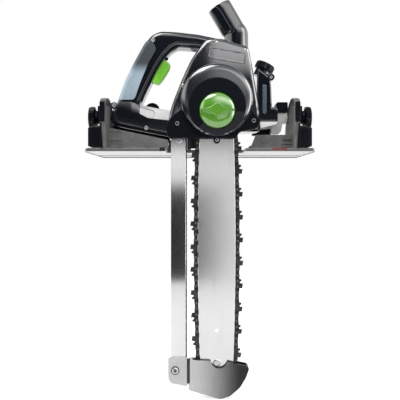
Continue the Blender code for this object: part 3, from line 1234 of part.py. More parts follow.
def handle_slope(face, inside):
    """Wedges that take the upper edge off the handle's lower arm, deeper towards the gear case."""
    wedges = []
    for share_x, share_top, share_depth, share_ridge in HANDLE_SLOPE_SHARES:
        x, top = handle_point(share_x, share_top)
        ridge = handle_point(share_x, share_ridge)[1]
        depth = share_depth * HANDLE_DEPTH / 2
        low = ridge - (top - ridge) * GAP / depth
        wedges.append([
            on_axis("Y", x, low, face - inside * GAP), on_axis("Y", x, top, face + inside * depth),
            on_axis("Y", x, top, face - inside * GAP),
        ])
    return wedges


def handle():
    """Two clamshell halves of the C handle, soft pads, screws, switch, trigger, lock button and speed dial."""
    corners = shared(HANDLE_OUTER_SHARES, -HANDLE_LEFT, HANDLE_BOTTOM, HANDLE_LENGTH, HANDLE_HEIGHT)
    halves = (
        ("handle_front_half", HANDLE_FRONT, HANDLE_SPLIT - GAP / 2), ("handle_rear_half", HANDLE_REAR, HANDLE_SPLIT + GAP / 2),
    )
    low, along, inward, edge_length = grip_line()
    trigger_start = edge_length - TRIGGER_LENGTH - TRIGGER_TOP_GAP
    trigger_end = trigger_start + TRIGGER_LENGTH
    room = across_grip(
        trigger_start - GAP * 2, trigger_end + GAP * 2, -HANDLE_CORNER, TRIGGER_INSIDE + TRIGGER_TRAVEL + GAP * 2,
    )
    switch_room = across_grip(
        trigger_start, trigger_start + SWITCH_SIZE + 2 * GAP, TRIGGER_INSIDE + TRIGGER_TRAVEL,
        TRIGGER_INSIDE + TRIGGER_TRAVEL + SWITCH_SIZE,
    )
    lock_middle = trigger_end + LOCK_RADIUS + GAP * 4
    lock_room = across_grip(
        lock_middle - LOCK_RADIUS - GAP, lock_middle + LOCK_RADIUS + GAP, -HANDLE_CORNER, LOCK_INSIDE + LOCK_TRAVEL + GAP * 2,
    )
    dial_x, dial_z = handle_point(0.39, 0.28)
    dial_z = dial_z + DIAL_PROUD - DIAL_RADIUS
    dial_room = circle(dial_x, dial_z, DIAL_RADIUS + GAP * 2, 20)
    rooms = (
        ("trigger", room, TRIGGER_WIDTH / 2 + GAP), ("switch", switch_room, SWITCH_SIZE / 2),
        ("lock", lock_room, LOCK_RADIUS + GAP), ("dial", dial_room, DIAL_WIDTH / 2 + GAP),
    )
    pad_corners = shared(PAD_SHARES, -HANDLE_LEFT, HANDLE_BOTTOM, HANDLE_LENGTH, HANDLE_HEIGHT)
    clearance = around_housing()
    for name, face, split in halves:
        inside = 1 if split > face else -1
        half = bmesh.new()
        steps = ((0.65, 0), (0, 0.7))
        rings = [(HANDLE_EDGE * drawn, face + inside * HANDLE_EDGE * depth) for drawn, depth in steps] + [(0, split)]
        loft(half, [
            [on_axis("Y", x, z, place) for x, z in eased(corners, HANDLE_CORNER, drawn, 1, HANDLE_CORNER_SHARES)]
            for drawn, place in rings
        ])
        made = finish(name, half, "housing", TILT_PIVOT)
        lug_x, lug_z = handle_screw_places()[1]
        lug_low, lug_high = sorted((face + inside * HANDLE_EDGE * 0.4, split))
        cut(made, helper("join_lug_" + name, prism, circle(lug_x, lug_z, LUG_RADIUS, 16), "Y", lug_low, lug_high), "UNION")
        cut(made, helper(
            "cut_housing_" + name, prism, clearance, "Y", HOUSING_FRONT - CUT_OVERRUN, HOUSING_REAR + CUT_OVERRUN,
        ))
        cut(made, helper("cut_slope_" + name, loft, handle_slope(face, inside)))
        cut(made, helper("cut_spout_" + name, loft, spout_rings(SPOUT_RADIUS + 2 * GAP, spout_stations())))
        cut(made, helper(
            "cut_motor_" + name, prism, circle(BAR_X, ARMATURE_Z, MOTOR_RADIUS + 2 * GAP, 24), "Y", HOUSING_REAR, MOTOR_REAR,
        ))
        for label, shape, half_depth in rooms:
            near, far = sorted((split + inside * CUT_OVERRUN, HANDLE_SPLIT - inside * half_depth))
            cut(made, helper("cut_%s_%s" % (label, name), prism, shape, "Y", near, far))
        near, far = sorted((face - inside * CUT_OVERRUN, face + inside * PAD_DEPTH))
        pad_room = rounded(inset(pad_corners, -GAP), HANDLE_CORNER / 2, 2)
        cut(made, helper("cut_pad_" + name, prism, pad_room, "Y", near, far))
        pad = bmesh.new()
        loft(pad, [
            [on_axis("Y", x, z, place) for x, z in eased(pad_corners, HANDLE_CORNER / 2, drawn, 2)]
            for drawn, place in (
                (PAD_DEPTH, face - inside * PAD_CROWN), (0, face), (0, face + inside * (PAD_DEPTH - GAP)),
            )
        ])
        finish("grip_pad_front" if inside > 0 else "grip_pad_rear", pad, "grip", TILT_PIVOT)
        if inside > 0:
            for index, (x, z) in enumerate(handle_screw_places()):
                head = face if index != 1 else face + HANDLE_EDGE * 0.4
                cut(made, helper(
                    "cut_handle_screw%d" % index, prism, circle(x, z, SCREW_RADIUS + GAP, 12), "Y",
                    face - CUT_OVERRUN, head + SCREW_DEPTH + GAP,
                ))
                solid("handle_screw_" + ("top", "lug", "low")[index], "steel", screw, x, z, head, pivot=TILT_PIVOT)
        else:
            bore = circle(STUD_Y, STUD_Z, STUD_RADIUS + GAP, 12)
            cut(made, helper("cut_arm_stud", prism, bore, "X", -HANDLE_LEFT - CUT_OVERRUN, -HANDLE_LEFT + ARM_BLOCK_LENGTH))

    slide = Vector((inward.x, 0, inward.y))
    middle = low + along * (trigger_start + trigger_end) / 2
    points = [
        low + along * (trigger_start + TRIGGER_LENGTH * a) + inward * (TRIGGER_PROUD * b) for a, b in TRIGGER_SHARES
    ]
    points += [low + along * trigger_end + inward * TRIGGER_INSIDE, low + along * trigger_start + inward * TRIGGER_INSIDE]
    trigger = bmesh.new()
    shape = [tuple(point) for point in points]
    half_wide = TRIGGER_WIDTH / 2
    loft(trigger, [
        [on_axis("Y", x, z, HANDLE_SPLIT - half_wide) for x, z in inset(shape, PAD_DEPTH)],
        [on_axis("Y", x, z, HANDLE_SPLIT - half_wide + PAD_DEPTH) for x, z in shape],
        [on_axis("Y", x, z, HANDLE_SPLIT + half_wide - PAD_DEPTH) for x, z in shape],
        [on_axis("Y", x, z, HANDLE_SPLIT + half_wide) for x, z in inset(shape, PAD_DEPTH)],
    ])
    finish("trigger", trigger, "green", (middle.x, HANDLE_SPLIT, middle.y))

    switch = bmesh.new()
    gap = GAP * 2
    body = across_grip(
        trigger_start + gap, trigger_start + SWITCH_SIZE, TRIGGER_INSIDE + TRIGGER_TRAVEL + gap * 2,
        TRIGGER_INSIDE + TRIGGER_TRAVEL + SWITCH_SIZE - gap,
    )
    prism(switch, body, "Y", HANDLE_SPLIT - SWITCH_SIZE / 2 + gap, HANDLE_SPLIT + SWITCH_SIZE / 2 - gap)
    finish("switch_module", switch, "cover", TILT_PIVOT)

    lock = bmesh.new()
    place = low + along * lock_middle
    rows = []
    for radius, depth in ((LOCK_RADIUS * 0.75, -LOCK_PROUD), (LOCK_RADIUS, -LOCK_PROUD * 0.8), (LOCK_RADIUS, LOCK_INSIDE)):
        centre = place + inward * depth
        rows.append([
            (centre.x + along.x * radius * math.cos(angle), HANDLE_SPLIT + radius * math.sin(angle),
             centre.y + along.y * radius * math.cos(angle))
            for angle in angles(12)
        ])
    loft(lock, rows)
    finish("lock_off_button", lock, "cover", (place.x, HANDLE_SPLIT, place.y))

    dial = bmesh.new()
    outline = []
    for index, angle in enumerate(angles(32)):
        radius = DIAL_RADIUS * (1 if index % 2 else 0.95)
        outline.append((dial_x + radius * math.cos(angle), dial_z + radius * math.sin(angle)))
    prism(dial, outline, "Y", HANDLE_SPLIT - DIAL_WIDTH / 2, HANDLE_SPLIT + DIAL_WIDTH / 2)
    finish("speed_dial", dial, "cover", (dial_x, HANDLE_SPLIT, dial_z))
    return slide


def screw(mesh_data, x, z, face):
    """A screw head let into its counterbore, with a socket."""
    turned(mesh_data, [
        (SCREW_SOCKET * 0.9, face + SCREW_SOCKET), (SCREW_SOCKET, face + GAP), (SCREW_RADIUS - GAP, face + GAP),
        (SCREW_RADIUS, face + GAP * 2), (SCREW_RADIUS, face + SCREW_DEPTH),
    ], "Y", x, z, 10)


def right_arm():
    """The cast arm with the pad that takes the right clamp stud, and the block on top of the pad."""
    arm_left = -HOUSING_LEFT + HOUSING_WIDTH * 0.86
    arm_right = SEGMENT_INNER - 2 * GAP
    arm_bottom = HOUSING_BOTTOM + FOOT_RIB
    middle = BAR_Y + ARM_SETBACK + ARM_THICK / 2
    arm = solid(
        "right_arm", "aluminium", prism, shared(ARM_SHARES, arm_left, arm_bottom, arm_right - arm_left, ARM_HEIGHT), "Y",
        middle - ARM_THICK / 2, middle + ARM_THICK / 2, pivot=TILT_PIVOT,
    )
    pad = shared(
        ARM_PAD_SHARES, arm_right - ARM_PAD_REACH, arm_bottom + ARM_HEIGHT - ARM_PAD_HEIGHT, ARM_PAD_WIDTH, ARM_PAD_HEIGHT,
    )
    cut(arm, helper(
        "join_arm_pad", prism, rounded(pad, TANK_CORNER / 3, 2), "Y", middle - ARM_PAD_DEPTH / 2, middle + ARM_PAD_DEPTH / 2,
    ), "UNION")
    clearance = around_housing()
    cut(arm, helper("cut_arm_housing", prism, clearance, "Y", HOUSING_FRONT - CUT_OVERRUN, HOUSING_REAR + CUT_OVERRUN))
    block_low = arm_bottom + ARM_HEIGHT + GAP
    block = rounded(
        rectangle(arm_right - ARM_BLOCK_LENGTH, arm_right, block_low, block_low + ARM_BLOCK_HEIGHT), TANK_CORNER, 2,
        (0.3, 0.3, 0.6, 1),
    )
    solid(
        "stud_block", "housing", prism, block, "Y", middle - ARM_BLOCK_DEPTH / 2, middle + ARM_BLOCK_DEPTH / 2, pivot=TILT_PIVOT,
    )
    cut(arm, helper(
        "cut_stud_right_arm", prism, circle(STUD_Y, STUD_Z, STUD_RADIUS + GAP, 12), "X",
        SEGMENT_INNER - ARM_BLOCK_LENGTH * 0.7 - GAP, arm_right + CUT_OVERRUN,
    ))


def spout_stations():
    """Centres and directions along the spout: up out of the gear case, round the bend and straight on to the mouth."""
    lean = math.radians(SPOUT_LEAN_DEG)
    base = Vector((SPOUT_X, (HOUSING_FRONT + HOUSING_REAR) / 2, SPOUT_BASE_Z))
    corner = base + Vector((0, 0, SPOUT_RISE))
    stations = [(base, Vector((0, 0, 1)))]
    bend = 4
    for step in range(bend + 1):
        angle = lean * step / bend
        tangent = Vector((-math.sin(angle), 0, math.cos(angle)))
        stations.append((corner + tangent * (SPOUT_RADIUS * angle), tangent))
    stations.append((stations[-1][0] + stations[-1][1] * SPOUT_LENGTH, stations[-1][1]))
    return stations


def spout_rings(radius, stations):
    rings = []
    for centre, tangent in stations:
        across = Vector((tangent.z, 0, -tangent.x))
        rings.append([
            centre + across * (radius * math.cos(angle)) + Vector((0, radius * math.sin(angle), 0))
            for angle in angles(SPOUT_SIDES)
        ])
    return rings


def dust_spout():
    """A bent tube on top of the gear case, leaning back over the handle, open at its mouth."""
    stations = spout_stations()
    outside = spout_rings(SPOUT_RADIUS, stations)
    inside = spout_rings(SPOUT_RADIUS - SPOUT_WALL, list(reversed(stations[1:])))
    made = solid("dust_spout", "housing", loft, outside + inside, pivot=TILT_PIVOT)
    cut(made, helper(
        "cut_spout_housing", prism, around_housing(), "Y", HOUSING_FRONT - CUT_OVERRUN, HOUSING_REAR + CUT_OVERRUN,
    ))


def oil_tank():
    """The oil tank beside the gear case, its level window and its ribbed filler cap."""
    front = BAR_Y + TANK_SETBACK
    corners = shared(TANK_SHARES, TANK_LEFT, TANK_BOTTOM, TANK_WIDTH, TANK_HEIGHT)
    tank = solid(
        "oil_tank", "housing", eased_prism, corners, TANK_CORNER, "Y", front, front + TANK_DEPTH, TANK_CORNER / 2,
        pivot=TILT_PIVOT,
    )
    cut(tank, helper(
        "cut_tank_housing", prism, around_housing(), "Y", HOUSING_FRONT - CUT_OVERRUN, HOUSING_REAR + CUT_OVERRUN,
    ))
    cut(tank, helper(
        "cut_tank_arm", prism, rectangle(
            TANK_LEFT - TANK_WIDTH, TANK_LEFT + 2 * TANK_WIDTH, BAR_Y + ARM_SETBACK - ARM_BLOCK_DEPTH / 3, front + 2 * TANK_DEPTH,
        ), "Z", TANK_BOTTOM - CUT_OVERRUN, HOUSING_BOTTOM + FOOT_RIB + ARM_HEIGHT + ARM_BLOCK_HEIGHT * 0.8,
    ))
    lean = math.radians(CAP_LEAN_DEG)
    axis = Vector((math.sin(lean), 0, math.cos(lean)))
    across = Vector((math.cos(lean), 0, -math.sin(lean)))
    seat = Vector((
        TANK_LEFT + TANK_WIDTH * 0.1, front + TANK_DEPTH / 2, TANK_BOTTOM + TANK_HEIGHT * 0.93,
    ))

    def rings(mesh_data, profile, ribs=0):
        rows = []
        for radius, height in profile:
            row = []
            for index, angle in enumerate(angles(ribs * 2 if ribs else 20)):
                reach = radius - (CAP_RIB_DIP if ribs and index % 2 else 0)
                row.append(
                    seat + axis * height + across * (reach * math.cos(angle)) + Vector((0, reach * math.sin(angle), 0))
                )
            rows.append(row)
        loft(mesh_data, rows)

    cut(tank, helper("join_neck", rings, ((NECK_RADIUS, -NECK_HEIGHT), (NECK_RADIUS, NECK_HEIGHT))), "UNION")
    lug_z = TANK_BOTTOM + TANK_HEIGHT * 0.83
    lug_x = TANK_LEFT + TANK_WIDTH * 0.6
    cut(tank, helper("join_tank_lug", prism, circle(lug_x, lug_z, LUG_RADIUS, 16), "Y", front - GAP * 4, front + TANK_DEPTH / 2), "UNION")
    window_x = TANK_LEFT + TANK_WIDTH * 0.2
    window_z = TANK_BOTTOM + TANK_HEIGHT * 0.42
    window = rounded(rectangle(
        window_x - WINDOW_WIDTH / 2, window_x + WINDOW_WIDTH / 2, window_z - WINDOW_HEIGHT / 2, window_z + WINDOW_HEIGHT / 2,
    ), WINDOW_WIDTH / 2, 3)
    cut(tank, helper("cut_window", prism, inset(window, -GAP), "Y", front - CUT_OVERRUN, front + WINDOW_DEPTH + GAP))
    solid("oil_window", "window", prism, window, "Y", front - GAP, front + WINDOW_DEPTH, pivot=TILT_PIVOT)
    cap_base = seat + axis * (NECK_HEIGHT + GAP)
    low = NECK_HEIGHT + GAP
    cap = bmesh.new()
    rings(cap, (
        (CAP_RADIUS * 0.94, low), (CAP_RADIUS, low + CAP_RIB_DIP), (CAP_RADIUS, low + CAP_HEIGHT * 0.62),
        (CAP_RADIUS * 0.9, low + CAP_HEIGHT * 0.85), (CAP_RADIUS * 0.55, low + CAP_HEIGHT),
    ), CAP_RIBS)
    finish("oil_cap", cap, "cover", cap_base)


def parent_to_head():
    """Hang every piece of the tilting head from an empty on the tilt axis."""
    standing = ("base_plate", "cut_pointer_left", "cut_pointer_right", "segment_left", "segment_right", "segment_cover_left",
                "segment_cover_right")
    axis = bpy.data.objects.new("tilt_axis", None)
    bpy.context.scene.collection.objects.link(axis)
    axis.location = TILT_PIVOT
    for obj in bpy.context.scene.collection.objects:
        if obj.type == "MESH" and not obj.hide_render and obj.name not in standing:
            obj.parent = axis
            obj.location = obj.location - TILT_PIVOT


def main():
    for obj in list(bpy.data.objects):
        bpy.data.objects.remove(obj)
    base_plate()
    left_tip = NOTCH_LEFT - BAR_X - LEFT_FOOT_OVERHANG
    right_tip = BAR_X + NOTCH_RIGHT + RIGHT_FOOT_SETBACK
    segment(-1, "segment_left", left_tip, LEFT_FOOT_HEIGHT, LEFT_FOOT_LOW, LEFT_FOOT_SLANT)
    segment(1, "segment_right", right_tip, RIGHT_FOOT_HEIGHT, RIGHT_FOOT_HEIGHT, RIGHT_FOOT_SLANT)
    clamp(-1, "left")
    clamp(1, "right")
    clamp_studs()
    guide_bar()
    chain()
    strip_and_shoe()
    sprocket_cover()
    cover_knob()
    gear_housing()
    motor()
    spindle()
    handle()
    right_arm()
    dust_spout()
    oil_tank()
    parent_to_head()


main()
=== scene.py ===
"""Looks of the portable bar saw, laid out as an add-on. Each operator makes one group of pieces.

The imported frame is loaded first, and every new piece is modelled in its place in that frame.
Lengths in the outlines below are in millimetres, and MM turns them into metres when a mesh is
made. X runs along the cut, Y away from the sprocket cover, and Z up from the base's underside.
"""
import math

import bpy
from mathutils import Matrix, Vector


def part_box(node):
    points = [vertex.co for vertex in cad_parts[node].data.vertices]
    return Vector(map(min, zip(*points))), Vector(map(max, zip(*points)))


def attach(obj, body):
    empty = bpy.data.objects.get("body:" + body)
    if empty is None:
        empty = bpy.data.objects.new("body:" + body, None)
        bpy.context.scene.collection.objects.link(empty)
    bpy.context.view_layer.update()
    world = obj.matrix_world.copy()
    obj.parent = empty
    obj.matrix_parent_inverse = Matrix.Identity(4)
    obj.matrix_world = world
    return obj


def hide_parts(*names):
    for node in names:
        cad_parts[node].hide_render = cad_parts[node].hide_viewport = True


bl_info = {
    "name": "Portable Bar Saw Looks",
    "version": (1, 0, 0),
    "blender": (4, 5, 0),
    "location": "View3D > Sidebar > Bar Saw",
    "description": "Detailed pieces and finishes of the portable bar saw",
    "category": "Object",
}

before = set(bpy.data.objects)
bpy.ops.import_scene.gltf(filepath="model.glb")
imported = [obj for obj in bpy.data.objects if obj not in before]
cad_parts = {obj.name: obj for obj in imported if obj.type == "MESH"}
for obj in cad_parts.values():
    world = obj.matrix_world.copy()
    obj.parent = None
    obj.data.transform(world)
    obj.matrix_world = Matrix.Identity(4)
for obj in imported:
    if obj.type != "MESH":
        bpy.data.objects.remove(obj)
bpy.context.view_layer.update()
MM = 0.001
AXES = {"X": Vector((1, 0, 0)), "Y": Vector((0, 1, 0)), "Z": Vector((0, 0, 1))}
FUSE_TRIES, FUSE_NUDGE = 8, Vector((0.002, -0.003, 0.004)) * MM

# Centres that many pieces share
BAR_X, BAR_Y = 23.5, -57.5
SPINDLE_Z, ARMATURE_Z, KNOB_Z, HUMP_Z = 84.0, 111.0, 55.4, 71.4
STUD_Y, STUD_Z = -12.83, 53.24
LUG = (-123.4, 68.6)
TANK_LUG = (101.6, 108.3)
DIAL = (-69.39, 63.044)
NAME_PLATE = (38.5, 138.0)

# Bar and chain
CUT_DEPTH = 330
BAR_END_HALF, BAR_BULGE, BAR_TAIL_TOP = 23.3, 3, 64
CHAIN_PITCH, RAIL_OFFSET, SPROCKET_TEETH = 8.255, 3.25, 7
CUTTER_HEIGHT, STRAP_HALF, RUNNING_GAP = 7.8, 2.9, 0.35
TAIL_Z = BAR_TAIL_TOP - BAR_END_HALF
NOSE_Z = -(CUT_DEPTH - CUTTER_HEIGHT - STRAP_HALF - RUNNING_GAP - BAR_END_HALF)
CUTTER_EVERY = 8

# Trigger and lock button, along and out of the grip
TRIGGER_LENGTH, TRIGGER_PROUD, TRIGGER_SETBACK = 37.0, 12.5, 2.3
LOCK_RADIUS, LOCK_GAP = 2.4, 1.2


def side_of(node, axis, high):
    """The lowest or highest place of a CAD node along an axis, in millimetres."""
    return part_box(node)[1 if high else 0][axis] / MM


HOUSING_FRONT = side_of("gear_housing", 1, False)
HOUSING_REAR = side_of("gear_housing", 1, True)
HANDLE_FRONT = side_of("handle_front_half", 1, False)
HANDLE_REAR = side_of("handle_rear_half", 1, True)
HANDLE_SPLIT = (HANDLE_FRONT + HANDLE_REAR) / 2
MOTOR_FRONT = side_of("motor_housing", 1, False)
MOTOR_REAR = side_of("motor_housing", 1, True)
MOTOR_RADIUS = side_of("motor_housing", 0, True) - BAR_X
ROOM_ENDS = (HOUSING_FRONT - 4, HOUSING_REAR + 2)

# Outlines as shares of a box of left, low, width and height
HANDLE_BOX = (-127.5, 22.9, 149, 152.3)
HOUSING_BOX = (-45, 30, 131, 133.5)
WING_BOX = (BAR_X - 67.5, 19, 128, 46)
TANK_BOX = (87.2, 44.4, 24, 77)
HANDLE_SHARES = (
    (0.068, 0.347), (0.136, 0.535), (0.232, 0.723), (0.327, 0.892), (0.395, 0.967),
    (0.472, 1.0), (0.615, 0.995), (0.84, 0.97), (1.06, 0.925), (1.06, 0.8),
    (0.832, 0.836), (0.644, 0.85), (0.587, 0.821), (0.52, 0.751), (0.443, 0.629),
    (0.356, 0.451), (0.289, 0.31), (0.327, 0.296), (0.61, 0.245), (0.61, -0.005),
    (0.376, 0.038), (0.136, 0.085), (0.021, 0.113), (0.0, 0.169), (0.0, 0.235),
)
# How much of the corner radius each corner of the handle takes
HANDLE_BENDS = (
    0.5, 0.5, 0.5, 1.0, 1.0, 1.0, 1.0, 0.5, 0.15, 0.15,
    0.3, 1.0, 0.8, 0.5, 0.5, 0.5, 0.6, 0.5, 0.15, 0.15,
    0.5, 0.5, 0.8, 0.5, 0.4,
)
PAD_SHARES = (
    (0.03, 0.35), (0.09, 0.5), (0.2, 0.72), (0.3, 0.885), (0.385, 0.912),
    (0.442, 0.83), (0.36, 0.69), (0.28, 0.5), (0.228, 0.348),
)
HOUSING_SHARES = (
    (0.0, 0.0), (1.0, 0.0), (1.0, 0.1), (0.98, 0.28), (0.884, 0.861), (0.862, 0.914),
    (0.58, 1.0), (0.419, 1.0), (0.322, 0.884), (0.237, 0.757), (0.138, 0.545),
    (0.041, 0.3), (0.0, 0.142),
)
WING_SHARES = (
    (0.0, 0.0), (0.74, 0.0), (0.77, 0.19), (0.97, 0.31), (1.0, 0.5), (0.97, 0.68),
    (0.92, 0.84), (0.8, 1.0), (0.5, 1.0), (0.16, 0.96), (0.12, 0.84), (0.04, 0.7),
    (-0.02, 0.45), (-0.02, 0.2),
)
TANK_SHARES = (
    (-0.12, 0.0), (1.0, 0.0), (1.0, 0.27), (0.66, 0.27), (0.62, 0.66), (0.56, 0.83),
    (-0.17, 1.0), (-0.22, 0.9), (-0.26, 0.4),
)
# Along the lower arm: place, top, depth as a share of half the handle, and ridge
SLOPE_SHARES = (
    (0.064, 0.336, 0.04, 0.244), (0.198, 0.336, 0.15, 0.23), (0.279, 0.336, 0.3, 0.217),
    (0.359, 0.322, 0.55, 0.178), (0.66, 0.283, 0.6, 0.145),
)
# Along the trigger, and out of the grip
TRIGGER_SHARES = ((0, -0.3), (0.03, -0.75), (0.3, -0.92), (0.8, -1.0), (0.97, -0.8), (1, -0.3))
# The moulded seam of the handle's front, and its screws with the place of their heads along Y
SEAM = [
    (-117, 77), (-102, 75), (-94.5, 73.6), (-84.5, 65.8), (-67.5, 61.6), (-64.6, 58.8), (-66.8, 48.8),
]
HANDLE_SCREWS = {
    "top": (-67.155, 161.49, HANDLE_FRONT), "lug": (-123.42, 68.59, HANDLE_FRONT + 2.4),
    "low": (-76.84, 35.85, HANDLE_FRONT),
}
COVER_SCREWS = ((BAR_X - 67.5 + 12.25, 39.7), (BAR_X + 60.5 - 9.1, 43.84))
# Links of the chain, along it and out from the bar
STRAP_SHAPE = (
    (6.5, 0), (5.9, 1.9), (4.2, 2.9), (2.2, 2.3), (-2.2, 2.3), (-4.2, 2.9),
    (-5.9, 1.9), (-6.5, 0), (-5.9, -1.9), (-4.2, -2.9), (4.2, -2.9), (5.9, -1.9),
)
DRIVE_SHAPE = (
    (5.0, 2.0), (2.0, 2.9), (-2.0, 2.9), (-5.0, 2.0), (-5.2, -1.8), (-3.0, -3.2),
    (-1.2, -7.1), (0.4, -7.1), (3.4, -3.4), (5.2, -1.8),
)
CUTTER_SHAPE = (
    (5.6, -1.6), (6.6, 1.0), (6.4, 5.2), (4.9, 6.2), (3.4, 5.4), (2.5, 3.6),
    (0.9, 3.6), (0.4, 5.2), (0.2, 6.9), (-6.2, 6.3), (-6.6, 1.0), (-5.6, -1.6),
)


# ---------------------------------------------------------------- sizes and colours


def millimetres(name, description, default):
    return bpy.props.FloatProperty(
        name=name, description=description, default=default * MM,
        unit="LENGTH", subtype="DISTANCE", precision=5,
    )


def count_of(name, description, default, least, most):
    return bpy.props.IntProperty(name=name, description=description, default=default, min=least, max=most)


def tint(name, description, default):
    return bpy.props.FloatVectorProperty(
        name=name, description=description, default=default, size=3, min=0, max=1, subtype="COLOR",
    )


class BarSawSizes(bpy.types.PropertyGroup):
    """Sizes of the detail that the frame leaves plain."""

    handle_edge: millimetres("Handle edge", "Radius of the handle's rounded edges", 8)
    housing_edge: millimetres("Housing edge", "Radius of the gear housing's front edge", 6.5)
    housing_lean: millimetres("Housing lean", "How far the top of the gear housing leans back", 7)
    cover_edge: millimetres("Cover edge", "Radius of the sprocket cover's edges", 2.6)
    plate_raise: millimetres("Name plate", "How far the bare name plate stands proud", 0.35)
    rivet_radius: millimetres("Rivet radius", "Radius of the chain's rivet heads", 1.7)
    bar_chamfer: millimetres("Bar chamfer", "Width of the chamfer round the guide bar", 0.5)
    screw_radius: millimetres("Screw radius", "Radius of the housing screws' heads", 3.2)
    cap_ribs: count_of("Cap ribs", "Ribs round the oil cap", 12, 6, 24)
    knob_ribs: count_of("Clamp knob ribs", "Ribs round each clamp knob", 9, 5, 24)
    motor_ribs: count_of("Motor ribs", "Cooling ribs along the motor housing", 24, 6, 36)


class BarSawColours(bpy.types.PropertyGroup):
    """Colours of the finishes."""

    housing: tint("Housing", "Glossy moulded plastic of the housing and handle", (0.0025, 0.004, 0.0075))
    cover: tint("Cover", "Satin plastic of covers and knobs", (0.0022, 0.0032, 0.0055))
    grip: tint("Grip", "Soft pads on the handle", (0.155, 0.2, 0.235))
    green: tint("Green", "Green plastic of the knob and trigger", (0.085, 0.28, 0.012))
    bar: tint("Bar", "Ground steel of the guide bar", (0.63, 0.63, 0.635))
    steel: tint("Steel", "Brushed steel of strip and shoe", (0.62, 0.62, 0.62))
    chain: tint("Chain", "Dark steel of the saw chain", (0.034, 0.033, 0.032))
    casting: tint("Casting", "Blasted grey castings", (0.14, 0.14, 0.138))
    plate: tint("Plate", "Pressed aluminium of the base", (0.6, 0.6, 0.6))
    window: tint("Window", "Translucent level window", (0.12, 0.2, 0.235))
    pointer: tint("Pointer", "Red cut pointers", (0.5, 0.05, 0.035))
    copper: tint("Copper", "Windings and brush gear", (0.72, 0.33, 0.16))


# ---------------------------------------------------------------- outlines


def area(outline):
    return sum(a[0] * b[1] - b[0] * a[1] for a, b in zip(outline, outline[1:] + outline[:1])) / 2


def inset(outline, distance):
    """Move every side of an outline inwards by a distance."""
    turn = 1 if area(outline) > 0 else -1
    moved = []
    for before, here, after in zip(outline[-1:] + outline[:-1], outline, outline[1:] + outline[:1]):
        first = (Vector(here) - Vector(before)).normalized()
        second = (Vector(after) - Vector(here)).normalized()
        middle = (Vector((-first.y, first.x)) + Vector((-second.y, second.x))) * turn
        moved.append(tuple(Vector(here) + middle * (2 * distance / middle.length_squared)))
    return moved


def bend(before, here, after, radius, limit, steps):
    """A quadratic curve in place of a corner, which takes no more than a share of the sides beside it."""
    here = Vector(here)
    back, on = Vector(before) - here, Vector(after) - here
    reach = min(radius, back.length * limit, on.length * limit)
    start, end = here + back.normalized() * reach, here + on.normalized() * reach
    shares = [step / steps for step in range(steps + 1)]
    return [tuple(start * (1 - t) ** 2 + here * (2 * t * (1 - t)) + end * t ** 2) for t in shares]


def rounded(outline, radius, steps=3, bends=None):
    """Round the corners of an outline, each by the radius or by its own part of it."""
    made = []
    for i, here in enumerate(outline):
        after = outline[(i + 1) % len(outline)]
        made += bend(outline[i - 1], here, after, radius * (bends[i] if bends else 1), 0.42, steps)
    return made


def softened(profile, radius, steps=2):
    """Round the corners of an open profile."""
    made = [profile[0]]
    for before, here, after in zip(profile, profile[1:], profile[2:]):
        made += bend(before, here, after, radius, 0.45, steps)
    return made + [profile[-1]]


def eased(corners, radius, drawn=0, steps=3, bends=None):
    """A rounded outline drawn in by a distance, with as many points as the one it came from."""
    return rounded(inset(corners, drawn) if drawn else corners, max(radius - drawn, radius / 3), steps, bends)


def shared(shares, left, low, width, height):
    """Places in a box, from their shares of its width and height."""
    return [(left + a * width, low + b * height) for a, b in shares]


def turns(sides):
    """Evenly spaced angles once round."""
    return [math.tau * step / sides for step in range(sides)]


def circle(a0, b0, radius, sides):
    return [(a0 + radius * math.cos(turn), b0 + radius * math.sin(turn)) for turn in turns(sides)]


def ring_at(centre, across, up, sides, radius):
    """Points round a centre, in the plane of two directions. The radius may follow the angle."""
    made = []
    for turn in turns(sides):
        reach = radius(turn) if callable(radius) else radius
        made.append(tuple(centre + across * (reach * math.cos(turn)) + up * (reach * math.sin(turn))))
    return made


def waved(radius, waves, dip, power):
    """The radius of a ribbed rim, which dips between its ribs."""
    return lambda turn: radius - dip * (0.5 - 0.5 * math.cos(waves * turn)) ** power


def box_outline(left, right, low, high):
    return [(left, low), (right, low), (right, high), (left, high)]


def quarter(edge, steps=4):
    """How far in and how far down the points of a quarter-round edge lie."""
    angles = [math.pi / 2 * step / steps for step in range(steps + 1)]
    return [(edge * (1 - math.sin(angle)), edge * (1 - math.cos(angle))) for angle in angles]


def along_y(outline, y):
    return [(x, y, z) for x, z in outline]


def along_x(outline, x):
    return [(x, y, z) for y, z in outline]


def along_z(outline, z):
    return [(x, y, z) for x, y in outline]


# ---------------------------------------------------------------- modelling


def let_go():
    """Leave edit mode and deselect everything."""
    if bpy.context.object and bpy.context.object.mode != "OBJECT":
        bpy.ops.object.mode_set(mode="OBJECT")
    bpy.ops.object.select_all(action="DESELECT")


def take(*pieces):
    """Select some pieces and make the first one active."""
    let_go()
    for piece in pieces:
        piece.select_set(True)
    bpy.context.view_layer.objects.active = pieces[0]
    return pieces[0]


def choose(piece, vertices):
    """Select some vertices of a mesh, by number, in vertex mode."""
    bpy.ops.object.mode_set(mode="EDIT")
    bpy.ops.mesh.select_mode(type="VERT")
    bpy.ops.mesh.select_all(action="DESELECT")
    bpy.ops.object.mode_set(mode="OBJECT")
    for number in vertices:
        piece.data.vertices[number].select = True
    bpy.ops.object.mode_set(mode="EDIT")


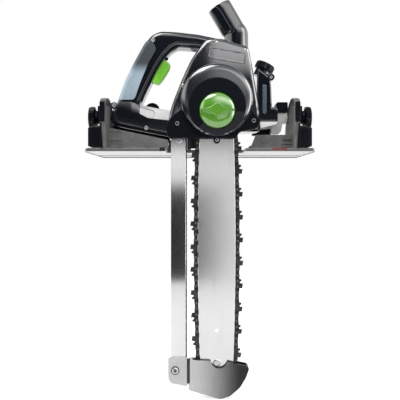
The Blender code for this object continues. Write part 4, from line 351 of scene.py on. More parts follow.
def stack(name, loops, closed=False):
    """Start from a circle laid on the first loop, extrude it from loop to loop, and fill both ends.

    A closed stack is a ring: its last loop is welded to its first.
    """
    let_go()
    if closed:
        loops = list(loops) + [loops[0]]
    bpy.ops.mesh.primitive_circle_add(vertices=len(loops[0]), radius=MM, fill_type="NOTHING")
    piece = bpy.context.object
    piece.name = piece.data.name = name
    order = list(range(len(loops[0])))
    for number, point in zip(order, loops[0]):
        piece.data.vertices[number].co = Vector(point) * MM
    first = order
    bpy.ops.object.mode_set(mode="EDIT")
    bpy.ops.mesh.select_all(action="SELECT")
    for loop in loops[1:]:
        bpy.ops.object.mode_set(mode="OBJECT")
        places = {tuple(piece.data.vertices[number].co): spot for spot, number in enumerate(order)}
        if len(places) != len(loop):
            raise RuntimeError("%s has a loop with two points in one place" % name)
        bpy.ops.object.mode_set(mode="EDIT")
        bpy.ops.mesh.extrude_edges_move()
        bpy.ops.object.mode_set(mode="OBJECT")
        fresh = [None] * len(loop)
        for vertex in [v for v in piece.data.vertices if v.select]:
            fresh[places[tuple(vertex.co)]] = vertex.index
        for number, point in zip(fresh, loop):
            piece.data.vertices[number].co = Vector(point) * MM
        order = fresh
        bpy.ops.object.mode_set(mode="EDIT")
    if not closed:
        for rim in (first, order):
            choose(piece, rim)
            bpy.ops.mesh.edge_face_add()
    bpy.ops.mesh.select_all(action="SELECT")
    if closed:
        bpy.ops.mesh.remove_doubles(threshold=1e-6)
    bpy.ops.mesh.normals_make_consistent(inside=False)
    bpy.ops.object.mode_set(mode="OBJECT")
    return piece


def plate(name, corners, near, far, radius=1.0, edge=0.5, back_edge=0.3, bends=None, steps=3):
    """A plate along Y, with a quarter-round edge at its near side and a small one at its far side."""
    way = 1 if far > near else -1
    places = [(drawn, near + way * deep) for drawn, deep in quarter(edge, steps)]
    places += [(drawn, far - way * deep) for drawn, deep in reversed(quarter(back_edge, 1))]
    return stack(name, [along_y(eased(corners, radius, drawn, 3, bends), y) for drawn, y in places])


def turned(name, profile, x, z, sides=48, closed=False):
    """Turn a profile of (radius, place along Y) points about an axis along Y."""
    return stack(name, [along_y(circle(x, z, radius, sides), y) for radius, y in profile], closed)


def bulk(mesh):
    """Volume inside a closed mesh."""
    mesh.calc_loop_triangles()
    spots = [vertex.co for vertex in mesh.vertices]
    corners = ([spots[index] for index in triangle.vertices] for triangle in mesh.loop_triangles)
    return abs(sum(one.dot(two.cross(three)) for one, two, three in corners)) / 6


def fuse(piece, tool, operation="DIFFERENCE"):
    """Cut a piece with a tool, or join the tool to it, and throw the tool away.

    The exact solver can lose a whole side where faces almost touch. Its result is held to the
    volumes that went in, and where it breaks them it is repeated with the tool a few thousandths
    of a millimetre aside. A piece that never comes out right stays as it was.
    """
    kept = piece.data.copy()
    before, added = bulk(kept), bulk(tool.data)
    lowest, highest = {
        "UNION": (max(before, added) * 0.98, (before + added) * 1.02),
        "DIFFERENCE": (max(before - added * 1.02, before * 0.04), before * 1.001),
        "INTERSECT": (min(before, added) * 0.0001, min(before, added) * 1.02),
    }[operation]
    for _ in range(FUSE_TRIES):
        change = piece.modifiers.new("fuse", "BOOLEAN")
        change.operation = operation
        change.solver = "EXACT"
        change.object = tool
        take(piece)
        bpy.ops.object.modifier_apply(modifier=change.name)
        if lowest <= bulk(piece.data) <= highest:
            break
        spoilt, piece.data = piece.data, kept.copy()
        bpy.data.meshes.remove(spoilt)
        tool.data.transform(Matrix.Translation(FUSE_NUDGE))
    bpy.data.meshes.remove(kept)
    bpy.data.objects.remove(tool)
    return piece


def cut(piece, outline, near, far, turn=along_y):
    """Cut a straight room out of a piece, between two places along an axis."""
    return fuse(piece, stack("room", [turn(outline, place) for place in sorted((near, far))]))


def tapped(piece, x, z, front, radius, depth):
    """A round hole along Y."""
    return cut(piece, circle(x, z, radius, 24), front - 2, front + depth)


def bevelled(piece, width, segments=2, angle=32):
    """Bevel the sharp edges of a piece."""
    take(piece)
    bpy.ops.object.modifier_apply(modifier=edge_modifier(piece, width, segments, angle).name)
    return piece


def edge_modifier(piece, width, segments, angle):
    """A live bevel on the sharp edges of a piece."""
    edges = piece.modifiers.new("edges", "BEVEL")
    edges.width = width * MM
    edges.segments = segments
    edges.limit_method = "ANGLE"
    edges.angle_limit = math.radians(angle)
    return edges


def copies(pattern, places, name):
    """Copy a pattern to every place, each copy with its own mesh, and join the copies."""
    made = []
    for place in places:
        twin = pattern.copy()
        twin.data = pattern.data.copy()
        bpy.context.scene.collection.objects.link(twin)
        twin.matrix_world = place
        made.append(twin)
    bpy.data.objects.remove(pattern)
    take(*made)
    bpy.ops.object.transform_apply(location=True, rotation=True, scale=True)
    return joined(made, name)


def joined(pieces, name):
    take(*pieces)
    if len(pieces) > 1:
        bpy.ops.object.join()
    piece = bpy.context.object
    piece.name = piece.data.name = name
    return piece


def sliced(piece, axis, places):
    """Bisect a piece at some places along X or Z, so that its flat faces can be bent."""
    normal = (1, 0, 0) if axis == "X" else (0, 0, 1)
    take(piece)
    bpy.ops.object.mode_set(mode="EDIT")
    for place in places:
        bpy.ops.mesh.select_all(action="SELECT")
        bpy.ops.mesh.bisect(plane_co=[place * MM * part for part in normal], plane_no=normal)
    bpy.ops.object.mode_set(mode="OBJECT")
    return piece


def dress(piece, body, finish_name, replaces=(), angle=32, weight=100):
    """Give a finished piece its smooth faces, finish and body, and hide the CAD nodes it replaces."""
    take(piece)
    bpy.ops.object.shade_smooth_by_angle(angle=math.radians(angle))
    weigh(piece, weight)
    piece.data.materials.clear()
    piece.data.materials.append(finish_of(finish_name))
    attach(piece, body)
    if replaces:
        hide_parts(*replaces)
    let_go()
    return piece


def repaint(piece, finish_name, chosen):
    """Give one more finish to the faces that a test of their middle, in millimetres, and normal picks."""
    piece.data.materials.append(finish_of(finish_name))
    for polygon in piece.data.polygons:
        if chosen(polygon.center / MM, polygon.normal):
            polygon.material_index = len(piece.data.materials) - 1


def weigh(piece, weight=100):
    """Let the large faces set the normals, so that flat faces look flat beside rounded edges."""
    normals = piece.modifiers.new("normals", "WEIGHTED_NORMAL")
    normals.weight = weight
    normals.keep_sharp = True


def ease_node(name, finish_name, width=0.0, segments=2, angle=30):
    """Give a CAD node that stays its finish, and rounded edges that leave its mesh as it is."""
    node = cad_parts[name]
    node.data.materials.clear()
    node.data.materials.append(finish_of(finish_name))
    for polygon in node.data.polygons:
        polygon.use_smooth = True
    weld = node.modifiers.new("weld", "WELD")
    weld.merge_threshold = 1e-5
    flat = node.modifiers.new("flat", "DECIMATE")
    flat.decimate_type = "DISSOLVE"
    flat.angle_limit = math.radians(1)
    if width:
        edge_modifier(node, width, segments, angle)
    else:
        split = node.modifiers.new("split", "EDGE_SPLIT")
        split.split_angle = math.radians(32)
    weigh(node)


# ---------------------------------------------------------------- finishes


def colours():
    return bpy.context.scene.bar_saw_colours


def sizes():
    return bpy.context.scene.bar_saw_sizes


def mm(value):
    return value / MM


def add_node(tree, kind, inputs=None, **settings):
    """A new shader node with its settings and the values of its inputs."""
    node = tree.nodes.new("ShaderNode" + kind)
    for name, value in settings.items():
        setattr(node, name, value)
    for name, value in (inputs or {}).items():
        node.inputs[name].default_value = value
    return node


def new_material(name, inputs):
    made = bpy.data.materials.new(name)
    made.use_nodes = True
    shader = made.node_tree.nodes["Principled BSDF"]
    for name, value in inputs.items():
        shader.inputs[name].default_value = value
    return made, made.node_tree, shader


def pattern(tree, scale, detail=2.0, stretch=(1, 1, 1)):
    """Noise on Object coordinates, stretched along an axis for brushed and drawn metal."""
    place = add_node(tree, "TexCoord")
    mapping = add_node(tree, "Mapping", {"Scale": stretch})
    noise = add_node(tree, "TexNoise", {"Scale": scale, "Detail": detail})
    tree.links.new(place.outputs["Object"], mapping.inputs["Vector"])
    tree.links.new(mapping.outputs["Vector"], noise.inputs["Vector"])
    return noise.outputs["Fac"]


def ranged(tree, source, start, end, low, high, **settings):
    """Map a value between two limits to a range."""
    limits = {"From Min": start, "From Max": end, "To Min": low, "To Max": high}
    node = add_node(tree, "MapRange", limits, **settings)
    tree.links.new(source, node.inputs["Value"])
    return node.outputs["Result"]


def blend(tree, share, first, colour):
    """Mix a colour into another by a share."""
    mix = add_node(tree, "Mix", data_type="RGBA")
    mix.inputs["B"].default_value = (*colour, 1)
    tree.links.new(share, mix.inputs["Factor"])
    tree.links.new(first, mix.inputs["A"])
    return mix.outputs["Result"]


def surface(
    name, colour, roughness, metallic=0.0, grain=900, grain_height=0.0, stretch=(1, 1, 1),
    vary=0.12, patch=25.0, coat=0.0, coat_ior=1.5, specular=0.5, wear=None,
):
    """A finish: colour that varies a little in patches, roughness that follows the grain, and a fine bump.

    wear is the colour, scale and strength of scuffs.
    """
    made, tree, shader = new_material(name, {
        "Metallic": metallic, "Specular IOR Level": specular,
        "Coat Weight": coat, "Coat Roughness": 0.09, "Coat IOR": coat_ior,
    })
    patches = pattern(tree, patch, 3.0)
    ramp = add_node(tree, "ValToRGB")
    for element, position, change in zip(ramp.color_ramp.elements, (0.35, 0.65), (1 - vary, 1 + vary)):
        element.position = position
        element.color = (*[min(1, c * change) for c in colour], 1)
    tree.links.new(patches, ramp.inputs["Fac"])
    tone = ramp.outputs["Color"]
    fine = pattern(tree, grain, 2.0, stretch)
    if wear:
        scuffs = pattern(tree, wear[1], 6.0, (1, 1, 0.35))
        tone = blend(tree, ranged(tree, scuffs, 0.62, 0.8, 0.0, wear[2]), tone, (wear[0],) * 3)
    tree.links.new(tone, shader.inputs["Base Color"])
    rough = ranged(tree, fine, 0.3, 0.7, roughness * 0.88, roughness * 1.12)
    tree.links.new(rough, shader.inputs["Roughness"])
    if grain_height:
        bump = add_node(tree, "Bump", {"Strength": 1.0, "Distance": grain_height * MM})
        tree.links.new(fine, bump.inputs["Height"])
        tree.links.new(bump.outputs["Normal"], shader.inputs["Normal"])
    return made


def paint_light_fade(made, axis, start, end, low, high):
    """Paint light and shade into a finish: scale its colour between two places along an axis, in millimetres."""
    tree = made.node_tree
    colour = tree.nodes["Principled BSDF"].inputs["Base Color"]
    place = add_node(tree, "TexCoord")
    split = add_node(tree, "SeparateXYZ")
    tree.links.new(place.outputs["Object"], split.inputs["Vector"])
    limits = (start * MM, end * MM, low, high)
    share = ranged(tree, split.outputs[axis], *limits, interpolation_type="SMOOTHSTEP")
    scale = add_node(tree, "VectorMath", operation="SCALE")
    tree.links.new(colour.links[0].from_socket, scale.inputs["Vector"])
    tree.links.new(share, scale.inputs["Scale"])
    tree.links.new(scale.outputs["Vector"], colour)


def paint_side_shade(made, amount):
    """Paint shade on a plate's faces that face along Y, so that its edges come out darker than its faces."""
    tree = made.node_tree
    colour = tree.nodes["Principled BSDF"].inputs["Base Color"]
    place = add_node(tree, "TexCoord")
    split = add_node(tree, "SeparateXYZ")
    size = add_node(tree, "Math", operation="ABSOLUTE")
    tree.links.new(place.outputs["Normal"], split.inputs["Vector"])
    tree.links.new(split.outputs["Y"], size.inputs[0])
    share = ranged(tree, size.outputs["Value"], 0.5, 0.8, 0.0, amount)
    tree.links.new(blend(tree, share, colour.links[0].from_socket, (0.06, 0.06, 0.06)), colour)


# What several finishes share
DRAWN = dict(grain=170, stretch=(14, 14, 1), vary=0.06, patch=12)
GLOSS = dict(specular=0.9, coat=0.9, coat_ior=1.9)

# Colour, its scale, roughness, metallic, and what else surface() takes. lift is added to the colour as a painted
# highlight. The fades along an axis and the darkened sides, which the two functions above take, are painted light
# and shade.
FINISHES = {
    "housing plastic": ("housing", 1, 0.2, 0, dict(grain_height=0.002, **GLOSS)),
    "plate field": ("housing", 1.2, 0.2, 0, dict(grain=1400, grain_height=0.002, **GLOSS)),
    "handle plastic": ("housing", 1, 0.12, 0, dict(grain_height=0.001, coat=0.75, coat_ior=1.8)),
    "cone plastic": ("housing", 1, 0.3, 0, dict(grain_height=0.004, specular=0.6, coat=0.35, coat_ior=1.6)),
    # light plastic is the housing plastic lifted by 0.5 in colour: a painted highlight for faces that face up.
    "light plastic": ("housing", 1, 0.3, 0, dict(lift=0.5, grain_height=0.002, specular=0.7, coat=0.5)),
    "motor plastic": ("cover", 1, 0.32, 0, dict(grain_height=0.006, coat=0.25)),
    "cover plastic": ("cover", 1, 0.38, 0, dict(grain_height=0.012, specular=0.12)),
    "knob plastic": ("cover", 1, 0.36, 0, dict(grain=1100, grain_height=0.01, specular=0.15)),
    "soft rubber": ("cover", 0.9, 0.7, 0, dict(grain_height=0.05)),
    # grip rubber fades along Z, light below and dark above: a painted reflection on the pads.
    "grip rubber": ("grip", 1, 0.36, 0, dict(
        grain=1200, grain_height=0.015, specular=0.7, vary=0.08, coat=0.2, painted_light_fade=("Z", 112, 130, 1.8, 0.22))),
    "green plastic": ("green", 1, 0.22, 0, dict(
        grain=1200, grain_height=0.004, specular=0.6, coat=1.0, coat_ior=2.1, vary=0.04)),
    # trigger plastic is the green scaled 2.3 times lighter as painted light, and a fade along X paints a
    # highlight towards its left end.
    "trigger plastic": ("green", 2.3, 0.26, 0, dict(
        grain=1200, grain_height=0.004, coat=0.7, coat_ior=1.8, vary=0.04, painted_light_fade=("X", -68, -56, 1.5, 1.0))),
    "bar steel": ("bar", 1.25, 0.13, 0.95, dict(
        grain=160, stretch=(14, 14, 1), vary=0.05, patch=9, wear=(0.45, 60, 0.25))),
    "strip steel": ("steel", 1.3, 0.08, 1.0, dict(wear=(0.5, 80, 0.25), **DRAWN)),
    # shoe steel fades along X from almost its full colour on the left to nearly black on the right: a painted
    # reflection. Its scuffs are wear.
    "shoe steel": ("steel", 1, 0.3, 0.85, dict(
        wear=(0.38, 80, 0.4), painted_light_fade=("X", -15, 60, 0.95, 0.05), **DRAWN)),
    "turned steel": ("steel", 1, 0.3, 0.9, dict(grain=500, grain_height=0.004, vary=0.08, patch=90)),
    "chain steel": ("chain", 1, 0.36, 0.7, dict(
        grain=600, grain_height=0.02, vary=0.35, patch=140, wear=(0.2, 260, 0.7))),
    "tooth steel": ("chain", 1.6, 0.34, 0.8, dict(grain=600, grain_height=0.01, vary=0.25, patch=160)),
    # rivet steel is the chain's colour made 2.6 times lighter and less metallic: a painted highlight on the rivet
    # heads.
    "rivet steel": ("chain", 2.6, 0.3, 0.3, dict(grain=600, grain_height=0.004, vary=0.2, patch=160)),
    "blasted casting": ("casting", 1, 0.62, 0.35, dict(
        grain=650, grain_height=0.04, vary=0.16, patch=60, wear=(0.3, 120, 0.35))),
    "bright casting": ("plate", 1.42, 0.4, 0.15, dict(grain=500, grain_height=0.02, vary=0.08, patch=50)),
    # pressed plate: the scuffs are wear, and the faces that face along Y get painted shade.
    "pressed plate": ("plate", 1.45, 0.4, 0.5, dict(
        grain=170, stretch=(1, 14, 14), vary=0.05, patch=14, wear=(0.5, 70, 0.4), painted_side_shade=0.9)),
    "dark rim": ("plate", 0.16, 0.5, 0.3, dict(grain=600, grain_height=0.01)),
    "level window": ("window", 0.5, 0.16, 0, dict(
        grain=300, grain_height=0.004, specular=0.6, coat=0.6, vary=0.1, patch=40)),
    "pointer red": ("pointer", 1, 0.45, 0, dict(grain_height=0.01)),
    "mark red": ("pointer", 0.4, 0.5, 0, dict(grain_height=0.01, vary=0.5, patch=160)),
    "copper winding": ("copper", 1, 0.35, 0.9, dict(
        grain=220, grain_height=0.15, stretch=(1, 6, 1), vary=0.2, patch=120)),
}


def finish_of(name):
    """The material of a finish, made when it is first asked for."""
    if name in bpy.data.materials:
        return bpy.data.materials[name]
    colour, scale, roughness, metallic, more = FINISHES[name]
    more = dict(more)
    lift, painted_light_fade, painted_side_shade = more.pop("lift", 0), more.pop("painted_light_fade", None), more.pop("painted_side_shade", None)
    made = surface(name, [lift + c * scale for c in getattr(colours(), colour)], roughness, metallic, **more)
    if painted_light_fade:
        paint_light_fade(made, *painted_light_fade)
    if painted_side_shade:
        paint_side_shade(made, painted_side_shade)
    return made


# ---------------------------------------------------------------- shapes that several operators share


def clamped(share):
    return max(0.0, min(1.0, share))


def housing_corners():
    return shared(HOUSING_SHARES, *HOUSING_BOX)


def housing_room():
    """The outline that a neighbour of the gear housing is cut to."""
    return rounded(housing_corners(), 7, 3)


def lean_at(x, z, lean, low=104.0, high=163.5):
    """How far the housing's front lies back at a place: a lean high up, and a crown on its left."""
    share, crown = clamped((z - low) / (high - low)), clamped((20.0 - x) / 54.0)
    return lean * share ** 1.6 + lean * 1.2 * crown ** 1.6 * clamped((z - 52.0) / 40.0)


def lean_back(piece, lean, reach=16.0):
    """Lean the front of a piece back with the housing's front, less and less over a depth."""
    for vertex in piece.data.vertices:
        near = clamped(1 - (mm(vertex.co.y) - HOUSING_FRONT) / reach)
        vertex.co.y += lean_at(mm(vertex.co.x), mm(vertex.co.z), lean) * MM * near


def screw_head(x, z, face, radius):
    """A pan head with a six-lobed socket."""
    profile = softened([
        (radius * 0.55, face + 1.1), (radius * 0.55, face), (radius * 0.7, face - 0.1), (radius, face + 0.5),
        (radius, face + 2.2),
    ], 0.25)
    loops = []
    for index, (reach, y) in enumerate(profile):
        lobe = reach * (0.16 if index < 3 else 0.0)
        rim = [(reach + lobe * math.cos(6 * turn), turn) for turn in turns(36)]
        loops.append([(x + out * math.cos(turn), y, z + out * math.sin(turn)) for out, turn in rim])
    return stack("screw", loops)


def screws(name, heads):
    """Screw heads as one piece, from the place, face and radius of each."""
    return joined([screw_head(*head) for head in heads], name)


# ---------------------------------------------------------------- operators


class BARSAW_OT_stage(bpy.types.Operator):
    """Camera, floor, world and soft lamps"""

    bl_idname = "barsaw.stage"
    bl_label = "Stage and light"

    def execute(self, context):
        scene = context.scene
        scene.view_settings.view_transform = "Standard"
        self.camera(scene)
        self.floor(context)
        self.world(scene)
        self.lamps(scene)
        return {"FINISHED"}

    def camera(self, scene):
        """Level with the bar, and straight in front of it."""
        eye = bpy.data.cameras.new("camera")
        eye.sensor_width, eye.lens, eye.shift_y = 36, 58.95, -0.03
        eye.clip_start, eye.clip_end = 0.01, 50
        camera = bpy.data.objects.new("camera", eye)
        camera.location = (0, -0.98, -0.05)
        camera.rotation_euler = (math.radians(90), 0, 0)
        scene.collection.objects.link(camera)
        scene.camera = camera

    def floor(self, context):
        """White, and lit up a little where the camera sees it."""
        let_go()
        below = (0, 0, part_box("tip_shoe")[0].z - 0.0005)
        bpy.ops.mesh.primitive_plane_add(size=2.4, location=below)
        floor = context.object
        floor.name = "floor"
        made, tree, shader = new_material("floor white", {
            "Base Color": (0.8, 0.8, 0.8, 1), "Roughness": 0.9, "Specular IOR Level": 0.0,
        })
        seen = add_node(tree, "LightPath")
        glow = add_node(tree, "Emission", {"Color": (1, 1, 1, 1)})
        share = add_node(tree, "Math", {1: 0.62}, operation="MULTIPLY")
        both = add_node(tree, "AddShader")
        tree.links.new(seen.outputs["Is Camera Ray"], share.inputs[0])
        tree.links.new(share.outputs["Value"], glow.inputs["Strength"])
        tree.links.new(shader.outputs["BSDF"], both.inputs[0])
        tree.links.new(glow.outputs["Emission"], both.inputs[1])
        tree.links.new(both.outputs["Shader"], tree.nodes["Material Output"].inputs["Surface"])
        floor.data.materials.append(made)

    def lamps(self, scene):
        """Soft boxes with their place, target, size and power. Only the mirrored ones show in reflections."""
        for name, place, target, size, power, mirrored in (
            ("top softbox", (-0.5, -0.5, 1.3), (0, 0, 0.02), (1.0, 0.7), 16, True),
            ("side softbox", (1.3, -0.35, 0.35), (0, 0, 0.02), (0.5, 1.4), 8, True),
            ("left softbox", (-1.2, -0.35, 0.1), (0, 0, -0.05), (0.35, 1.3), 5, False),
            ("front fill", (0.3, -2.2, 0.3), (0, 0, -0.1), (1.4, 1.8), 14, False),
        ):
            lamp = bpy.data.lights.new(name, "AREA")
            lamp.shape = "RECTANGLE"
            lamp.size, lamp.size_y = size
            lamp.energy = power
            holder = bpy.data.objects.new(name, lamp)
            holder.location = place
            holder.rotation_euler = (Vector(target) - Vector(place)).to_track_quat("-Z", "Y").to_euler()
            holder.visible_glossy = mirrored
            scene.collection.objects.link(holder)

    def world(self, scene):
        """White wherever the camera looks, and a studio of panels that only reflections see."""
        world = bpy.data.worlds.new("studio")
        scene.world = world
        world.use_nodes = True
        tree = world.node_tree
        seen = add_node(tree, "LightPath")
        way = add_node(tree, "TexCoord")
        split = add_node(tree, "SeparateXYZ")
        tree.links.new(way.outputs["Generated"], split.inputs["Vector"])

        def step(axis, *limits):
            return ranged(tree, split.outputs[axis], *limits, interpolation_type="SMOOTHSTEP")

        def combined(operation, total, *values):
            for value in values:
                node = add_node(tree, "Math", operation=operation)
                tree.links.new(total, node.inputs[0])
                if isinstance(value, float):
                    node.inputs[1].default_value = value
                else:
                    tree.links.new(value, node.inputs[1])
                total = node.outputs["Value"]
            return total

        def product(*values):
            return combined("MULTIPLY", *values)

        def highest(*values):
            return combined("MAXIMUM", *values)

        behind = product(step("Y", 0.0, 0.5, 0.03, 1.0), step("Z", 0.45, 0.85, 1.0, 0.3))
        across = highest(
            product(step("Z", 0.5, 0.75, 0.0, 1.0), step("X", -0.6, 0.25, 0.0, 1.0)),
            step("X", -0.2, 0.08, 0.02, 1.0),
        )
        above = product(
            step("Z", 0.2, 0.5, 0.0, 2.6), across,
            step("Y", 0.0, 0.3, 1.0, 0.1), step("Z", 0.58, 0.85, 1.0, 0.25),
        )
        right = step("X", 0.5, 0.95, 0.0, 1.8)
        left = product(step("X", -0.85, -0.62, 1.8, 0.0), step("Z", 0.0, 0.25, 0.0, 1.0))
        band = product(
            step("Z", -0.005, 0.012, 0.0, 0.95), step("Z", 0.055, 0.075, 1.0, 0.0),
            step("Y", -0.5, -0.3, 1.0, 0.0),
        )
        low_front = product(
            step("X", 0.0, 0.05, 0.1, 0.9), step("Z", -0.2, -0.15, 0.0, 1.0),
            step("Z", -0.005, 0.012, 1.0, 0.0), step("Y", -0.95, -0.9, 1.0, 0.0),
            step("X", -0.005, 0.0, 0.0, 1.0),
        )
        panels = highest(behind, above, right, left, band, low_front)
        mirror = product(seen.outputs["Is Glossy Ray"], panels)
        clear = highest(seen.outputs["Is Camera Ray"], seen.outputs["Is Transmission Ray"])
        soft = product(seen.outputs["Is Diffuse Ray"], 0.55)
        background = tree.nodes["Background"]
        background.inputs["Color"].default_value = (1, 1, 1, 1)
        tree.links.new(highest(mirror, clear, soft), background.inputs["Strength"])


class BARSAW_OT_housing(bpy.types.Operator):
    """Gear housing with its leaning front, bare name plate and screws"""

    bl_idname = "barsaw.housing"
    bl_label = "Gear housing"

    def execute(self, context):
        size = sizes()
        edge, lean = mm(size.housing_edge), mm(size.housing_lean)
        ends = (HOUSING_FRONT, HOUSING_REAR)
        body = plate("gear_housing_shell", housing_corners(), *ends, 7, edge, 2.5, steps=5)
        sliced(body, "Z", range(48, 160, 6))
        sliced(body, "X", range(-32, 80, 8))
        lean_back(body, lean)
        dress(body, "head", "housing plastic", ("gear_housing",), weight=50)

        tilt, (x, z) = math.radians(-10), NAME_PLATE
        corners = [
            (x + a * math.cos(tilt) - b * math.sin(tilt), z + a * math.sin(tilt) + b * math.cos(tilt))
            for a, b in box_outline(-27, 27, -8.4, 8.4)
        ]
        proud = mm(size.plate_raise)
        blank = stack("name_plate_blank", [
            along_y(eased(corners, 4.5, drawn), HOUSING_FRONT - raise_by)
            for drawn, raise_by in ((0, -1.5), (0, proud * 0.6), (0.35, proud), (1.3, proud), (1.6, proud * 0.5))
        ])
        sliced(sliced(blank, "Z", range(126, 152, 3)), "X", range(14, 66, 4))
        lean_back(blank, lean)
        dress(blank, "head", "plate field", weight=50)

        radius = mm(size.screw_radius)
        heads = screws("housing_screws", [
            (x, z, HOUSING_FRONT + lean_at(x, z, lean) + 0.2, radius)
            for x, z in ((24.4, 155.8), (65.0, 144.8), (-22.7, 95.4))
        ])
        dress(heads, "head", "turned steel")
        return {"FINISHED"}


class BARSAW_OT_cover(bpy.types.Operator):
    """Sprocket cover: a domed hump on flatter wings, open behind and below, with its screws"""

    bl_idname = "barsaw.cover"
    bl_label = "Sprocket cover"

    def execute(self, context):
        front, rear = -90, HOUSING_FRONT - 0.3
        wing_front, lobe_front, lobe_z = rear - 17, front + 19.25, 17
        dome = (
            (HUMP_Z, 49.7, rear), (HUMP_Z, 49.7, -80.5), (71.35, 49.4, -81.6), (71.2, 48.6, -83.6),
            (70.6, 47.4, -85.2), (69.5, 45.8, -86.5), (68.0, 44.0, -87.5), (66.0, 42.2, -88.4),
            (63.8, 40.6, -89.2), (62.0, 39.4, -89.75), (61.4, 38.6, front),
        )
        cover = stack("sprocket_cover_shell", [along_y(circle(BAR_X, z, radius, 96), y) for z, radius, y in dome])
        wings = plate("wings", shared(WING_SHARES, *WING_BOX), wing_front, rear, 6, mm(sizes().cover_edge), 0.2)
        fuse(cover, wings, "UNION")
        lobe = plate("lobe", circle(BAR_X, lobe_z, 4.6, 28), lobe_front, lobe_front + 3.2, 0.5, 0.8, 0.2)
        fuse(cover, lobe, "UNION")
        fuse(cover, stack("hump_room", [along_y(circle(BAR_X, z, radius, 48), y) for z, radius, y in (
            (63, 35.5, -86.8), (66, 39.0, -85.2), (70.5, 44.0, -81.5), (HUMP_Z, 46.5, -77.3),
            (HUMP_Z, 46.5, rear + 2),
        )]))
        reach = BAR_END_HALF + BAR_BULGE + RAIL_OFFSET + CUTTER_HEIGHT + 1
        cut(cover, box_outline(BAR_X - reach, BAR_X + reach, 10, HUMP_Z), lobe_front + 3.2, rear + 2)
        cut(cover, box_outline(BAR_X - 65, BAR_X - reach + 2, 17, 45.2), -62.1, rear + 2)
        tapped(cover, BAR_X, KNOB_Z, front, 4.3, 40)
        cut(cover, circle(BAR_X, KNOB_Z, 25.2, 64), front - 2, front + 1.2)
        for x, z in COVER_SCREWS:
            tapped(cover, x, z, wing_front, 3.9, 1.4)
        dress(cover, "head", "cover plastic", ("sprocket_cover",), 28)

        def glossy(middle):
            off = math.hypot(middle.x - BAR_X, middle.z - HUMP_Z)
            return middle.y < wing_front - 0.4 and off > 20 and middle.z > 24

        repaint(cover, "housing plastic", lambda middle, normal: glossy(middle))
        repaint(cover, "cone plastic", lambda middle, normal: glossy(middle) and middle.y <= -87.2)

        heads = [(x, z, wing_front + 0.9, 3.2) for x, z in COVER_SCREWS]
        heads.append((BAR_X, lobe_z, lobe_front - 0.6, 2.5))
        dress(screws("cover_screws", heads), "head", "turned steel")
        ease_node("bar_stud", "turned steel")
        return {"FINISHED"}


class BARSAW_OT_cover_knob(bpy.types.Operator):
    """Green knob: a dished disc with a rim and a grip ridge that swells round a boss"""

    bl_idname = "barsaw.cover_knob"
    bl_label = "Cover knob"

    def execute(self, context):
        low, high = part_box("cover_knob")
        front, rear = mm(low.y), mm(high.y)
        dish = front + 4.4
        knob = turned("cover_knob_disc", softened([
            (0.8, dish), (8, dish + 0.25), (14, dish + 0.9), (18, dish + 1.8), (21, dish + 3.1),
            (23.2, dish + 5.0), (24.2, dish + 7.2), (24.3, rear - 1.6), (22.8, rear), (4.3, rear),
        ], 2.0, 3), BAR_X, KNOB_Z, 72)
        grip = []
        for share in [2 * step / 24 - 1 for step in range(25)]:
            swell = 6.3 * math.exp(-(share * 2.6) ** 2)
            grip.append((share * 22.3, 1.6 + 1.5 * (1 - abs(share)) + swell))
        outline = grip + [(a, -b) for a, b in reversed(grip)]
        loops = []
        for drawn, y in (
            (0, dish + 5.5), (0, dish + 0.6), (0.25, front + 3.0), (0.75, front + 1.2), (1.3, front + 0.3),
            (1.9, front),
        ):
            points = [
                (BAR_X + a * (1 - drawn / 30), KNOB_Z + b * (1 - drawn / (abs(b) + 2.2))) for a, b in outline
            ]
            loops.append(along_y(points, y))
        fuse(knob, stack("ridge", loops), "UNION")
        dress(knob, "cover_knob", "green plastic", ("cover_knob",), 40)
        return {"FINISHED"}


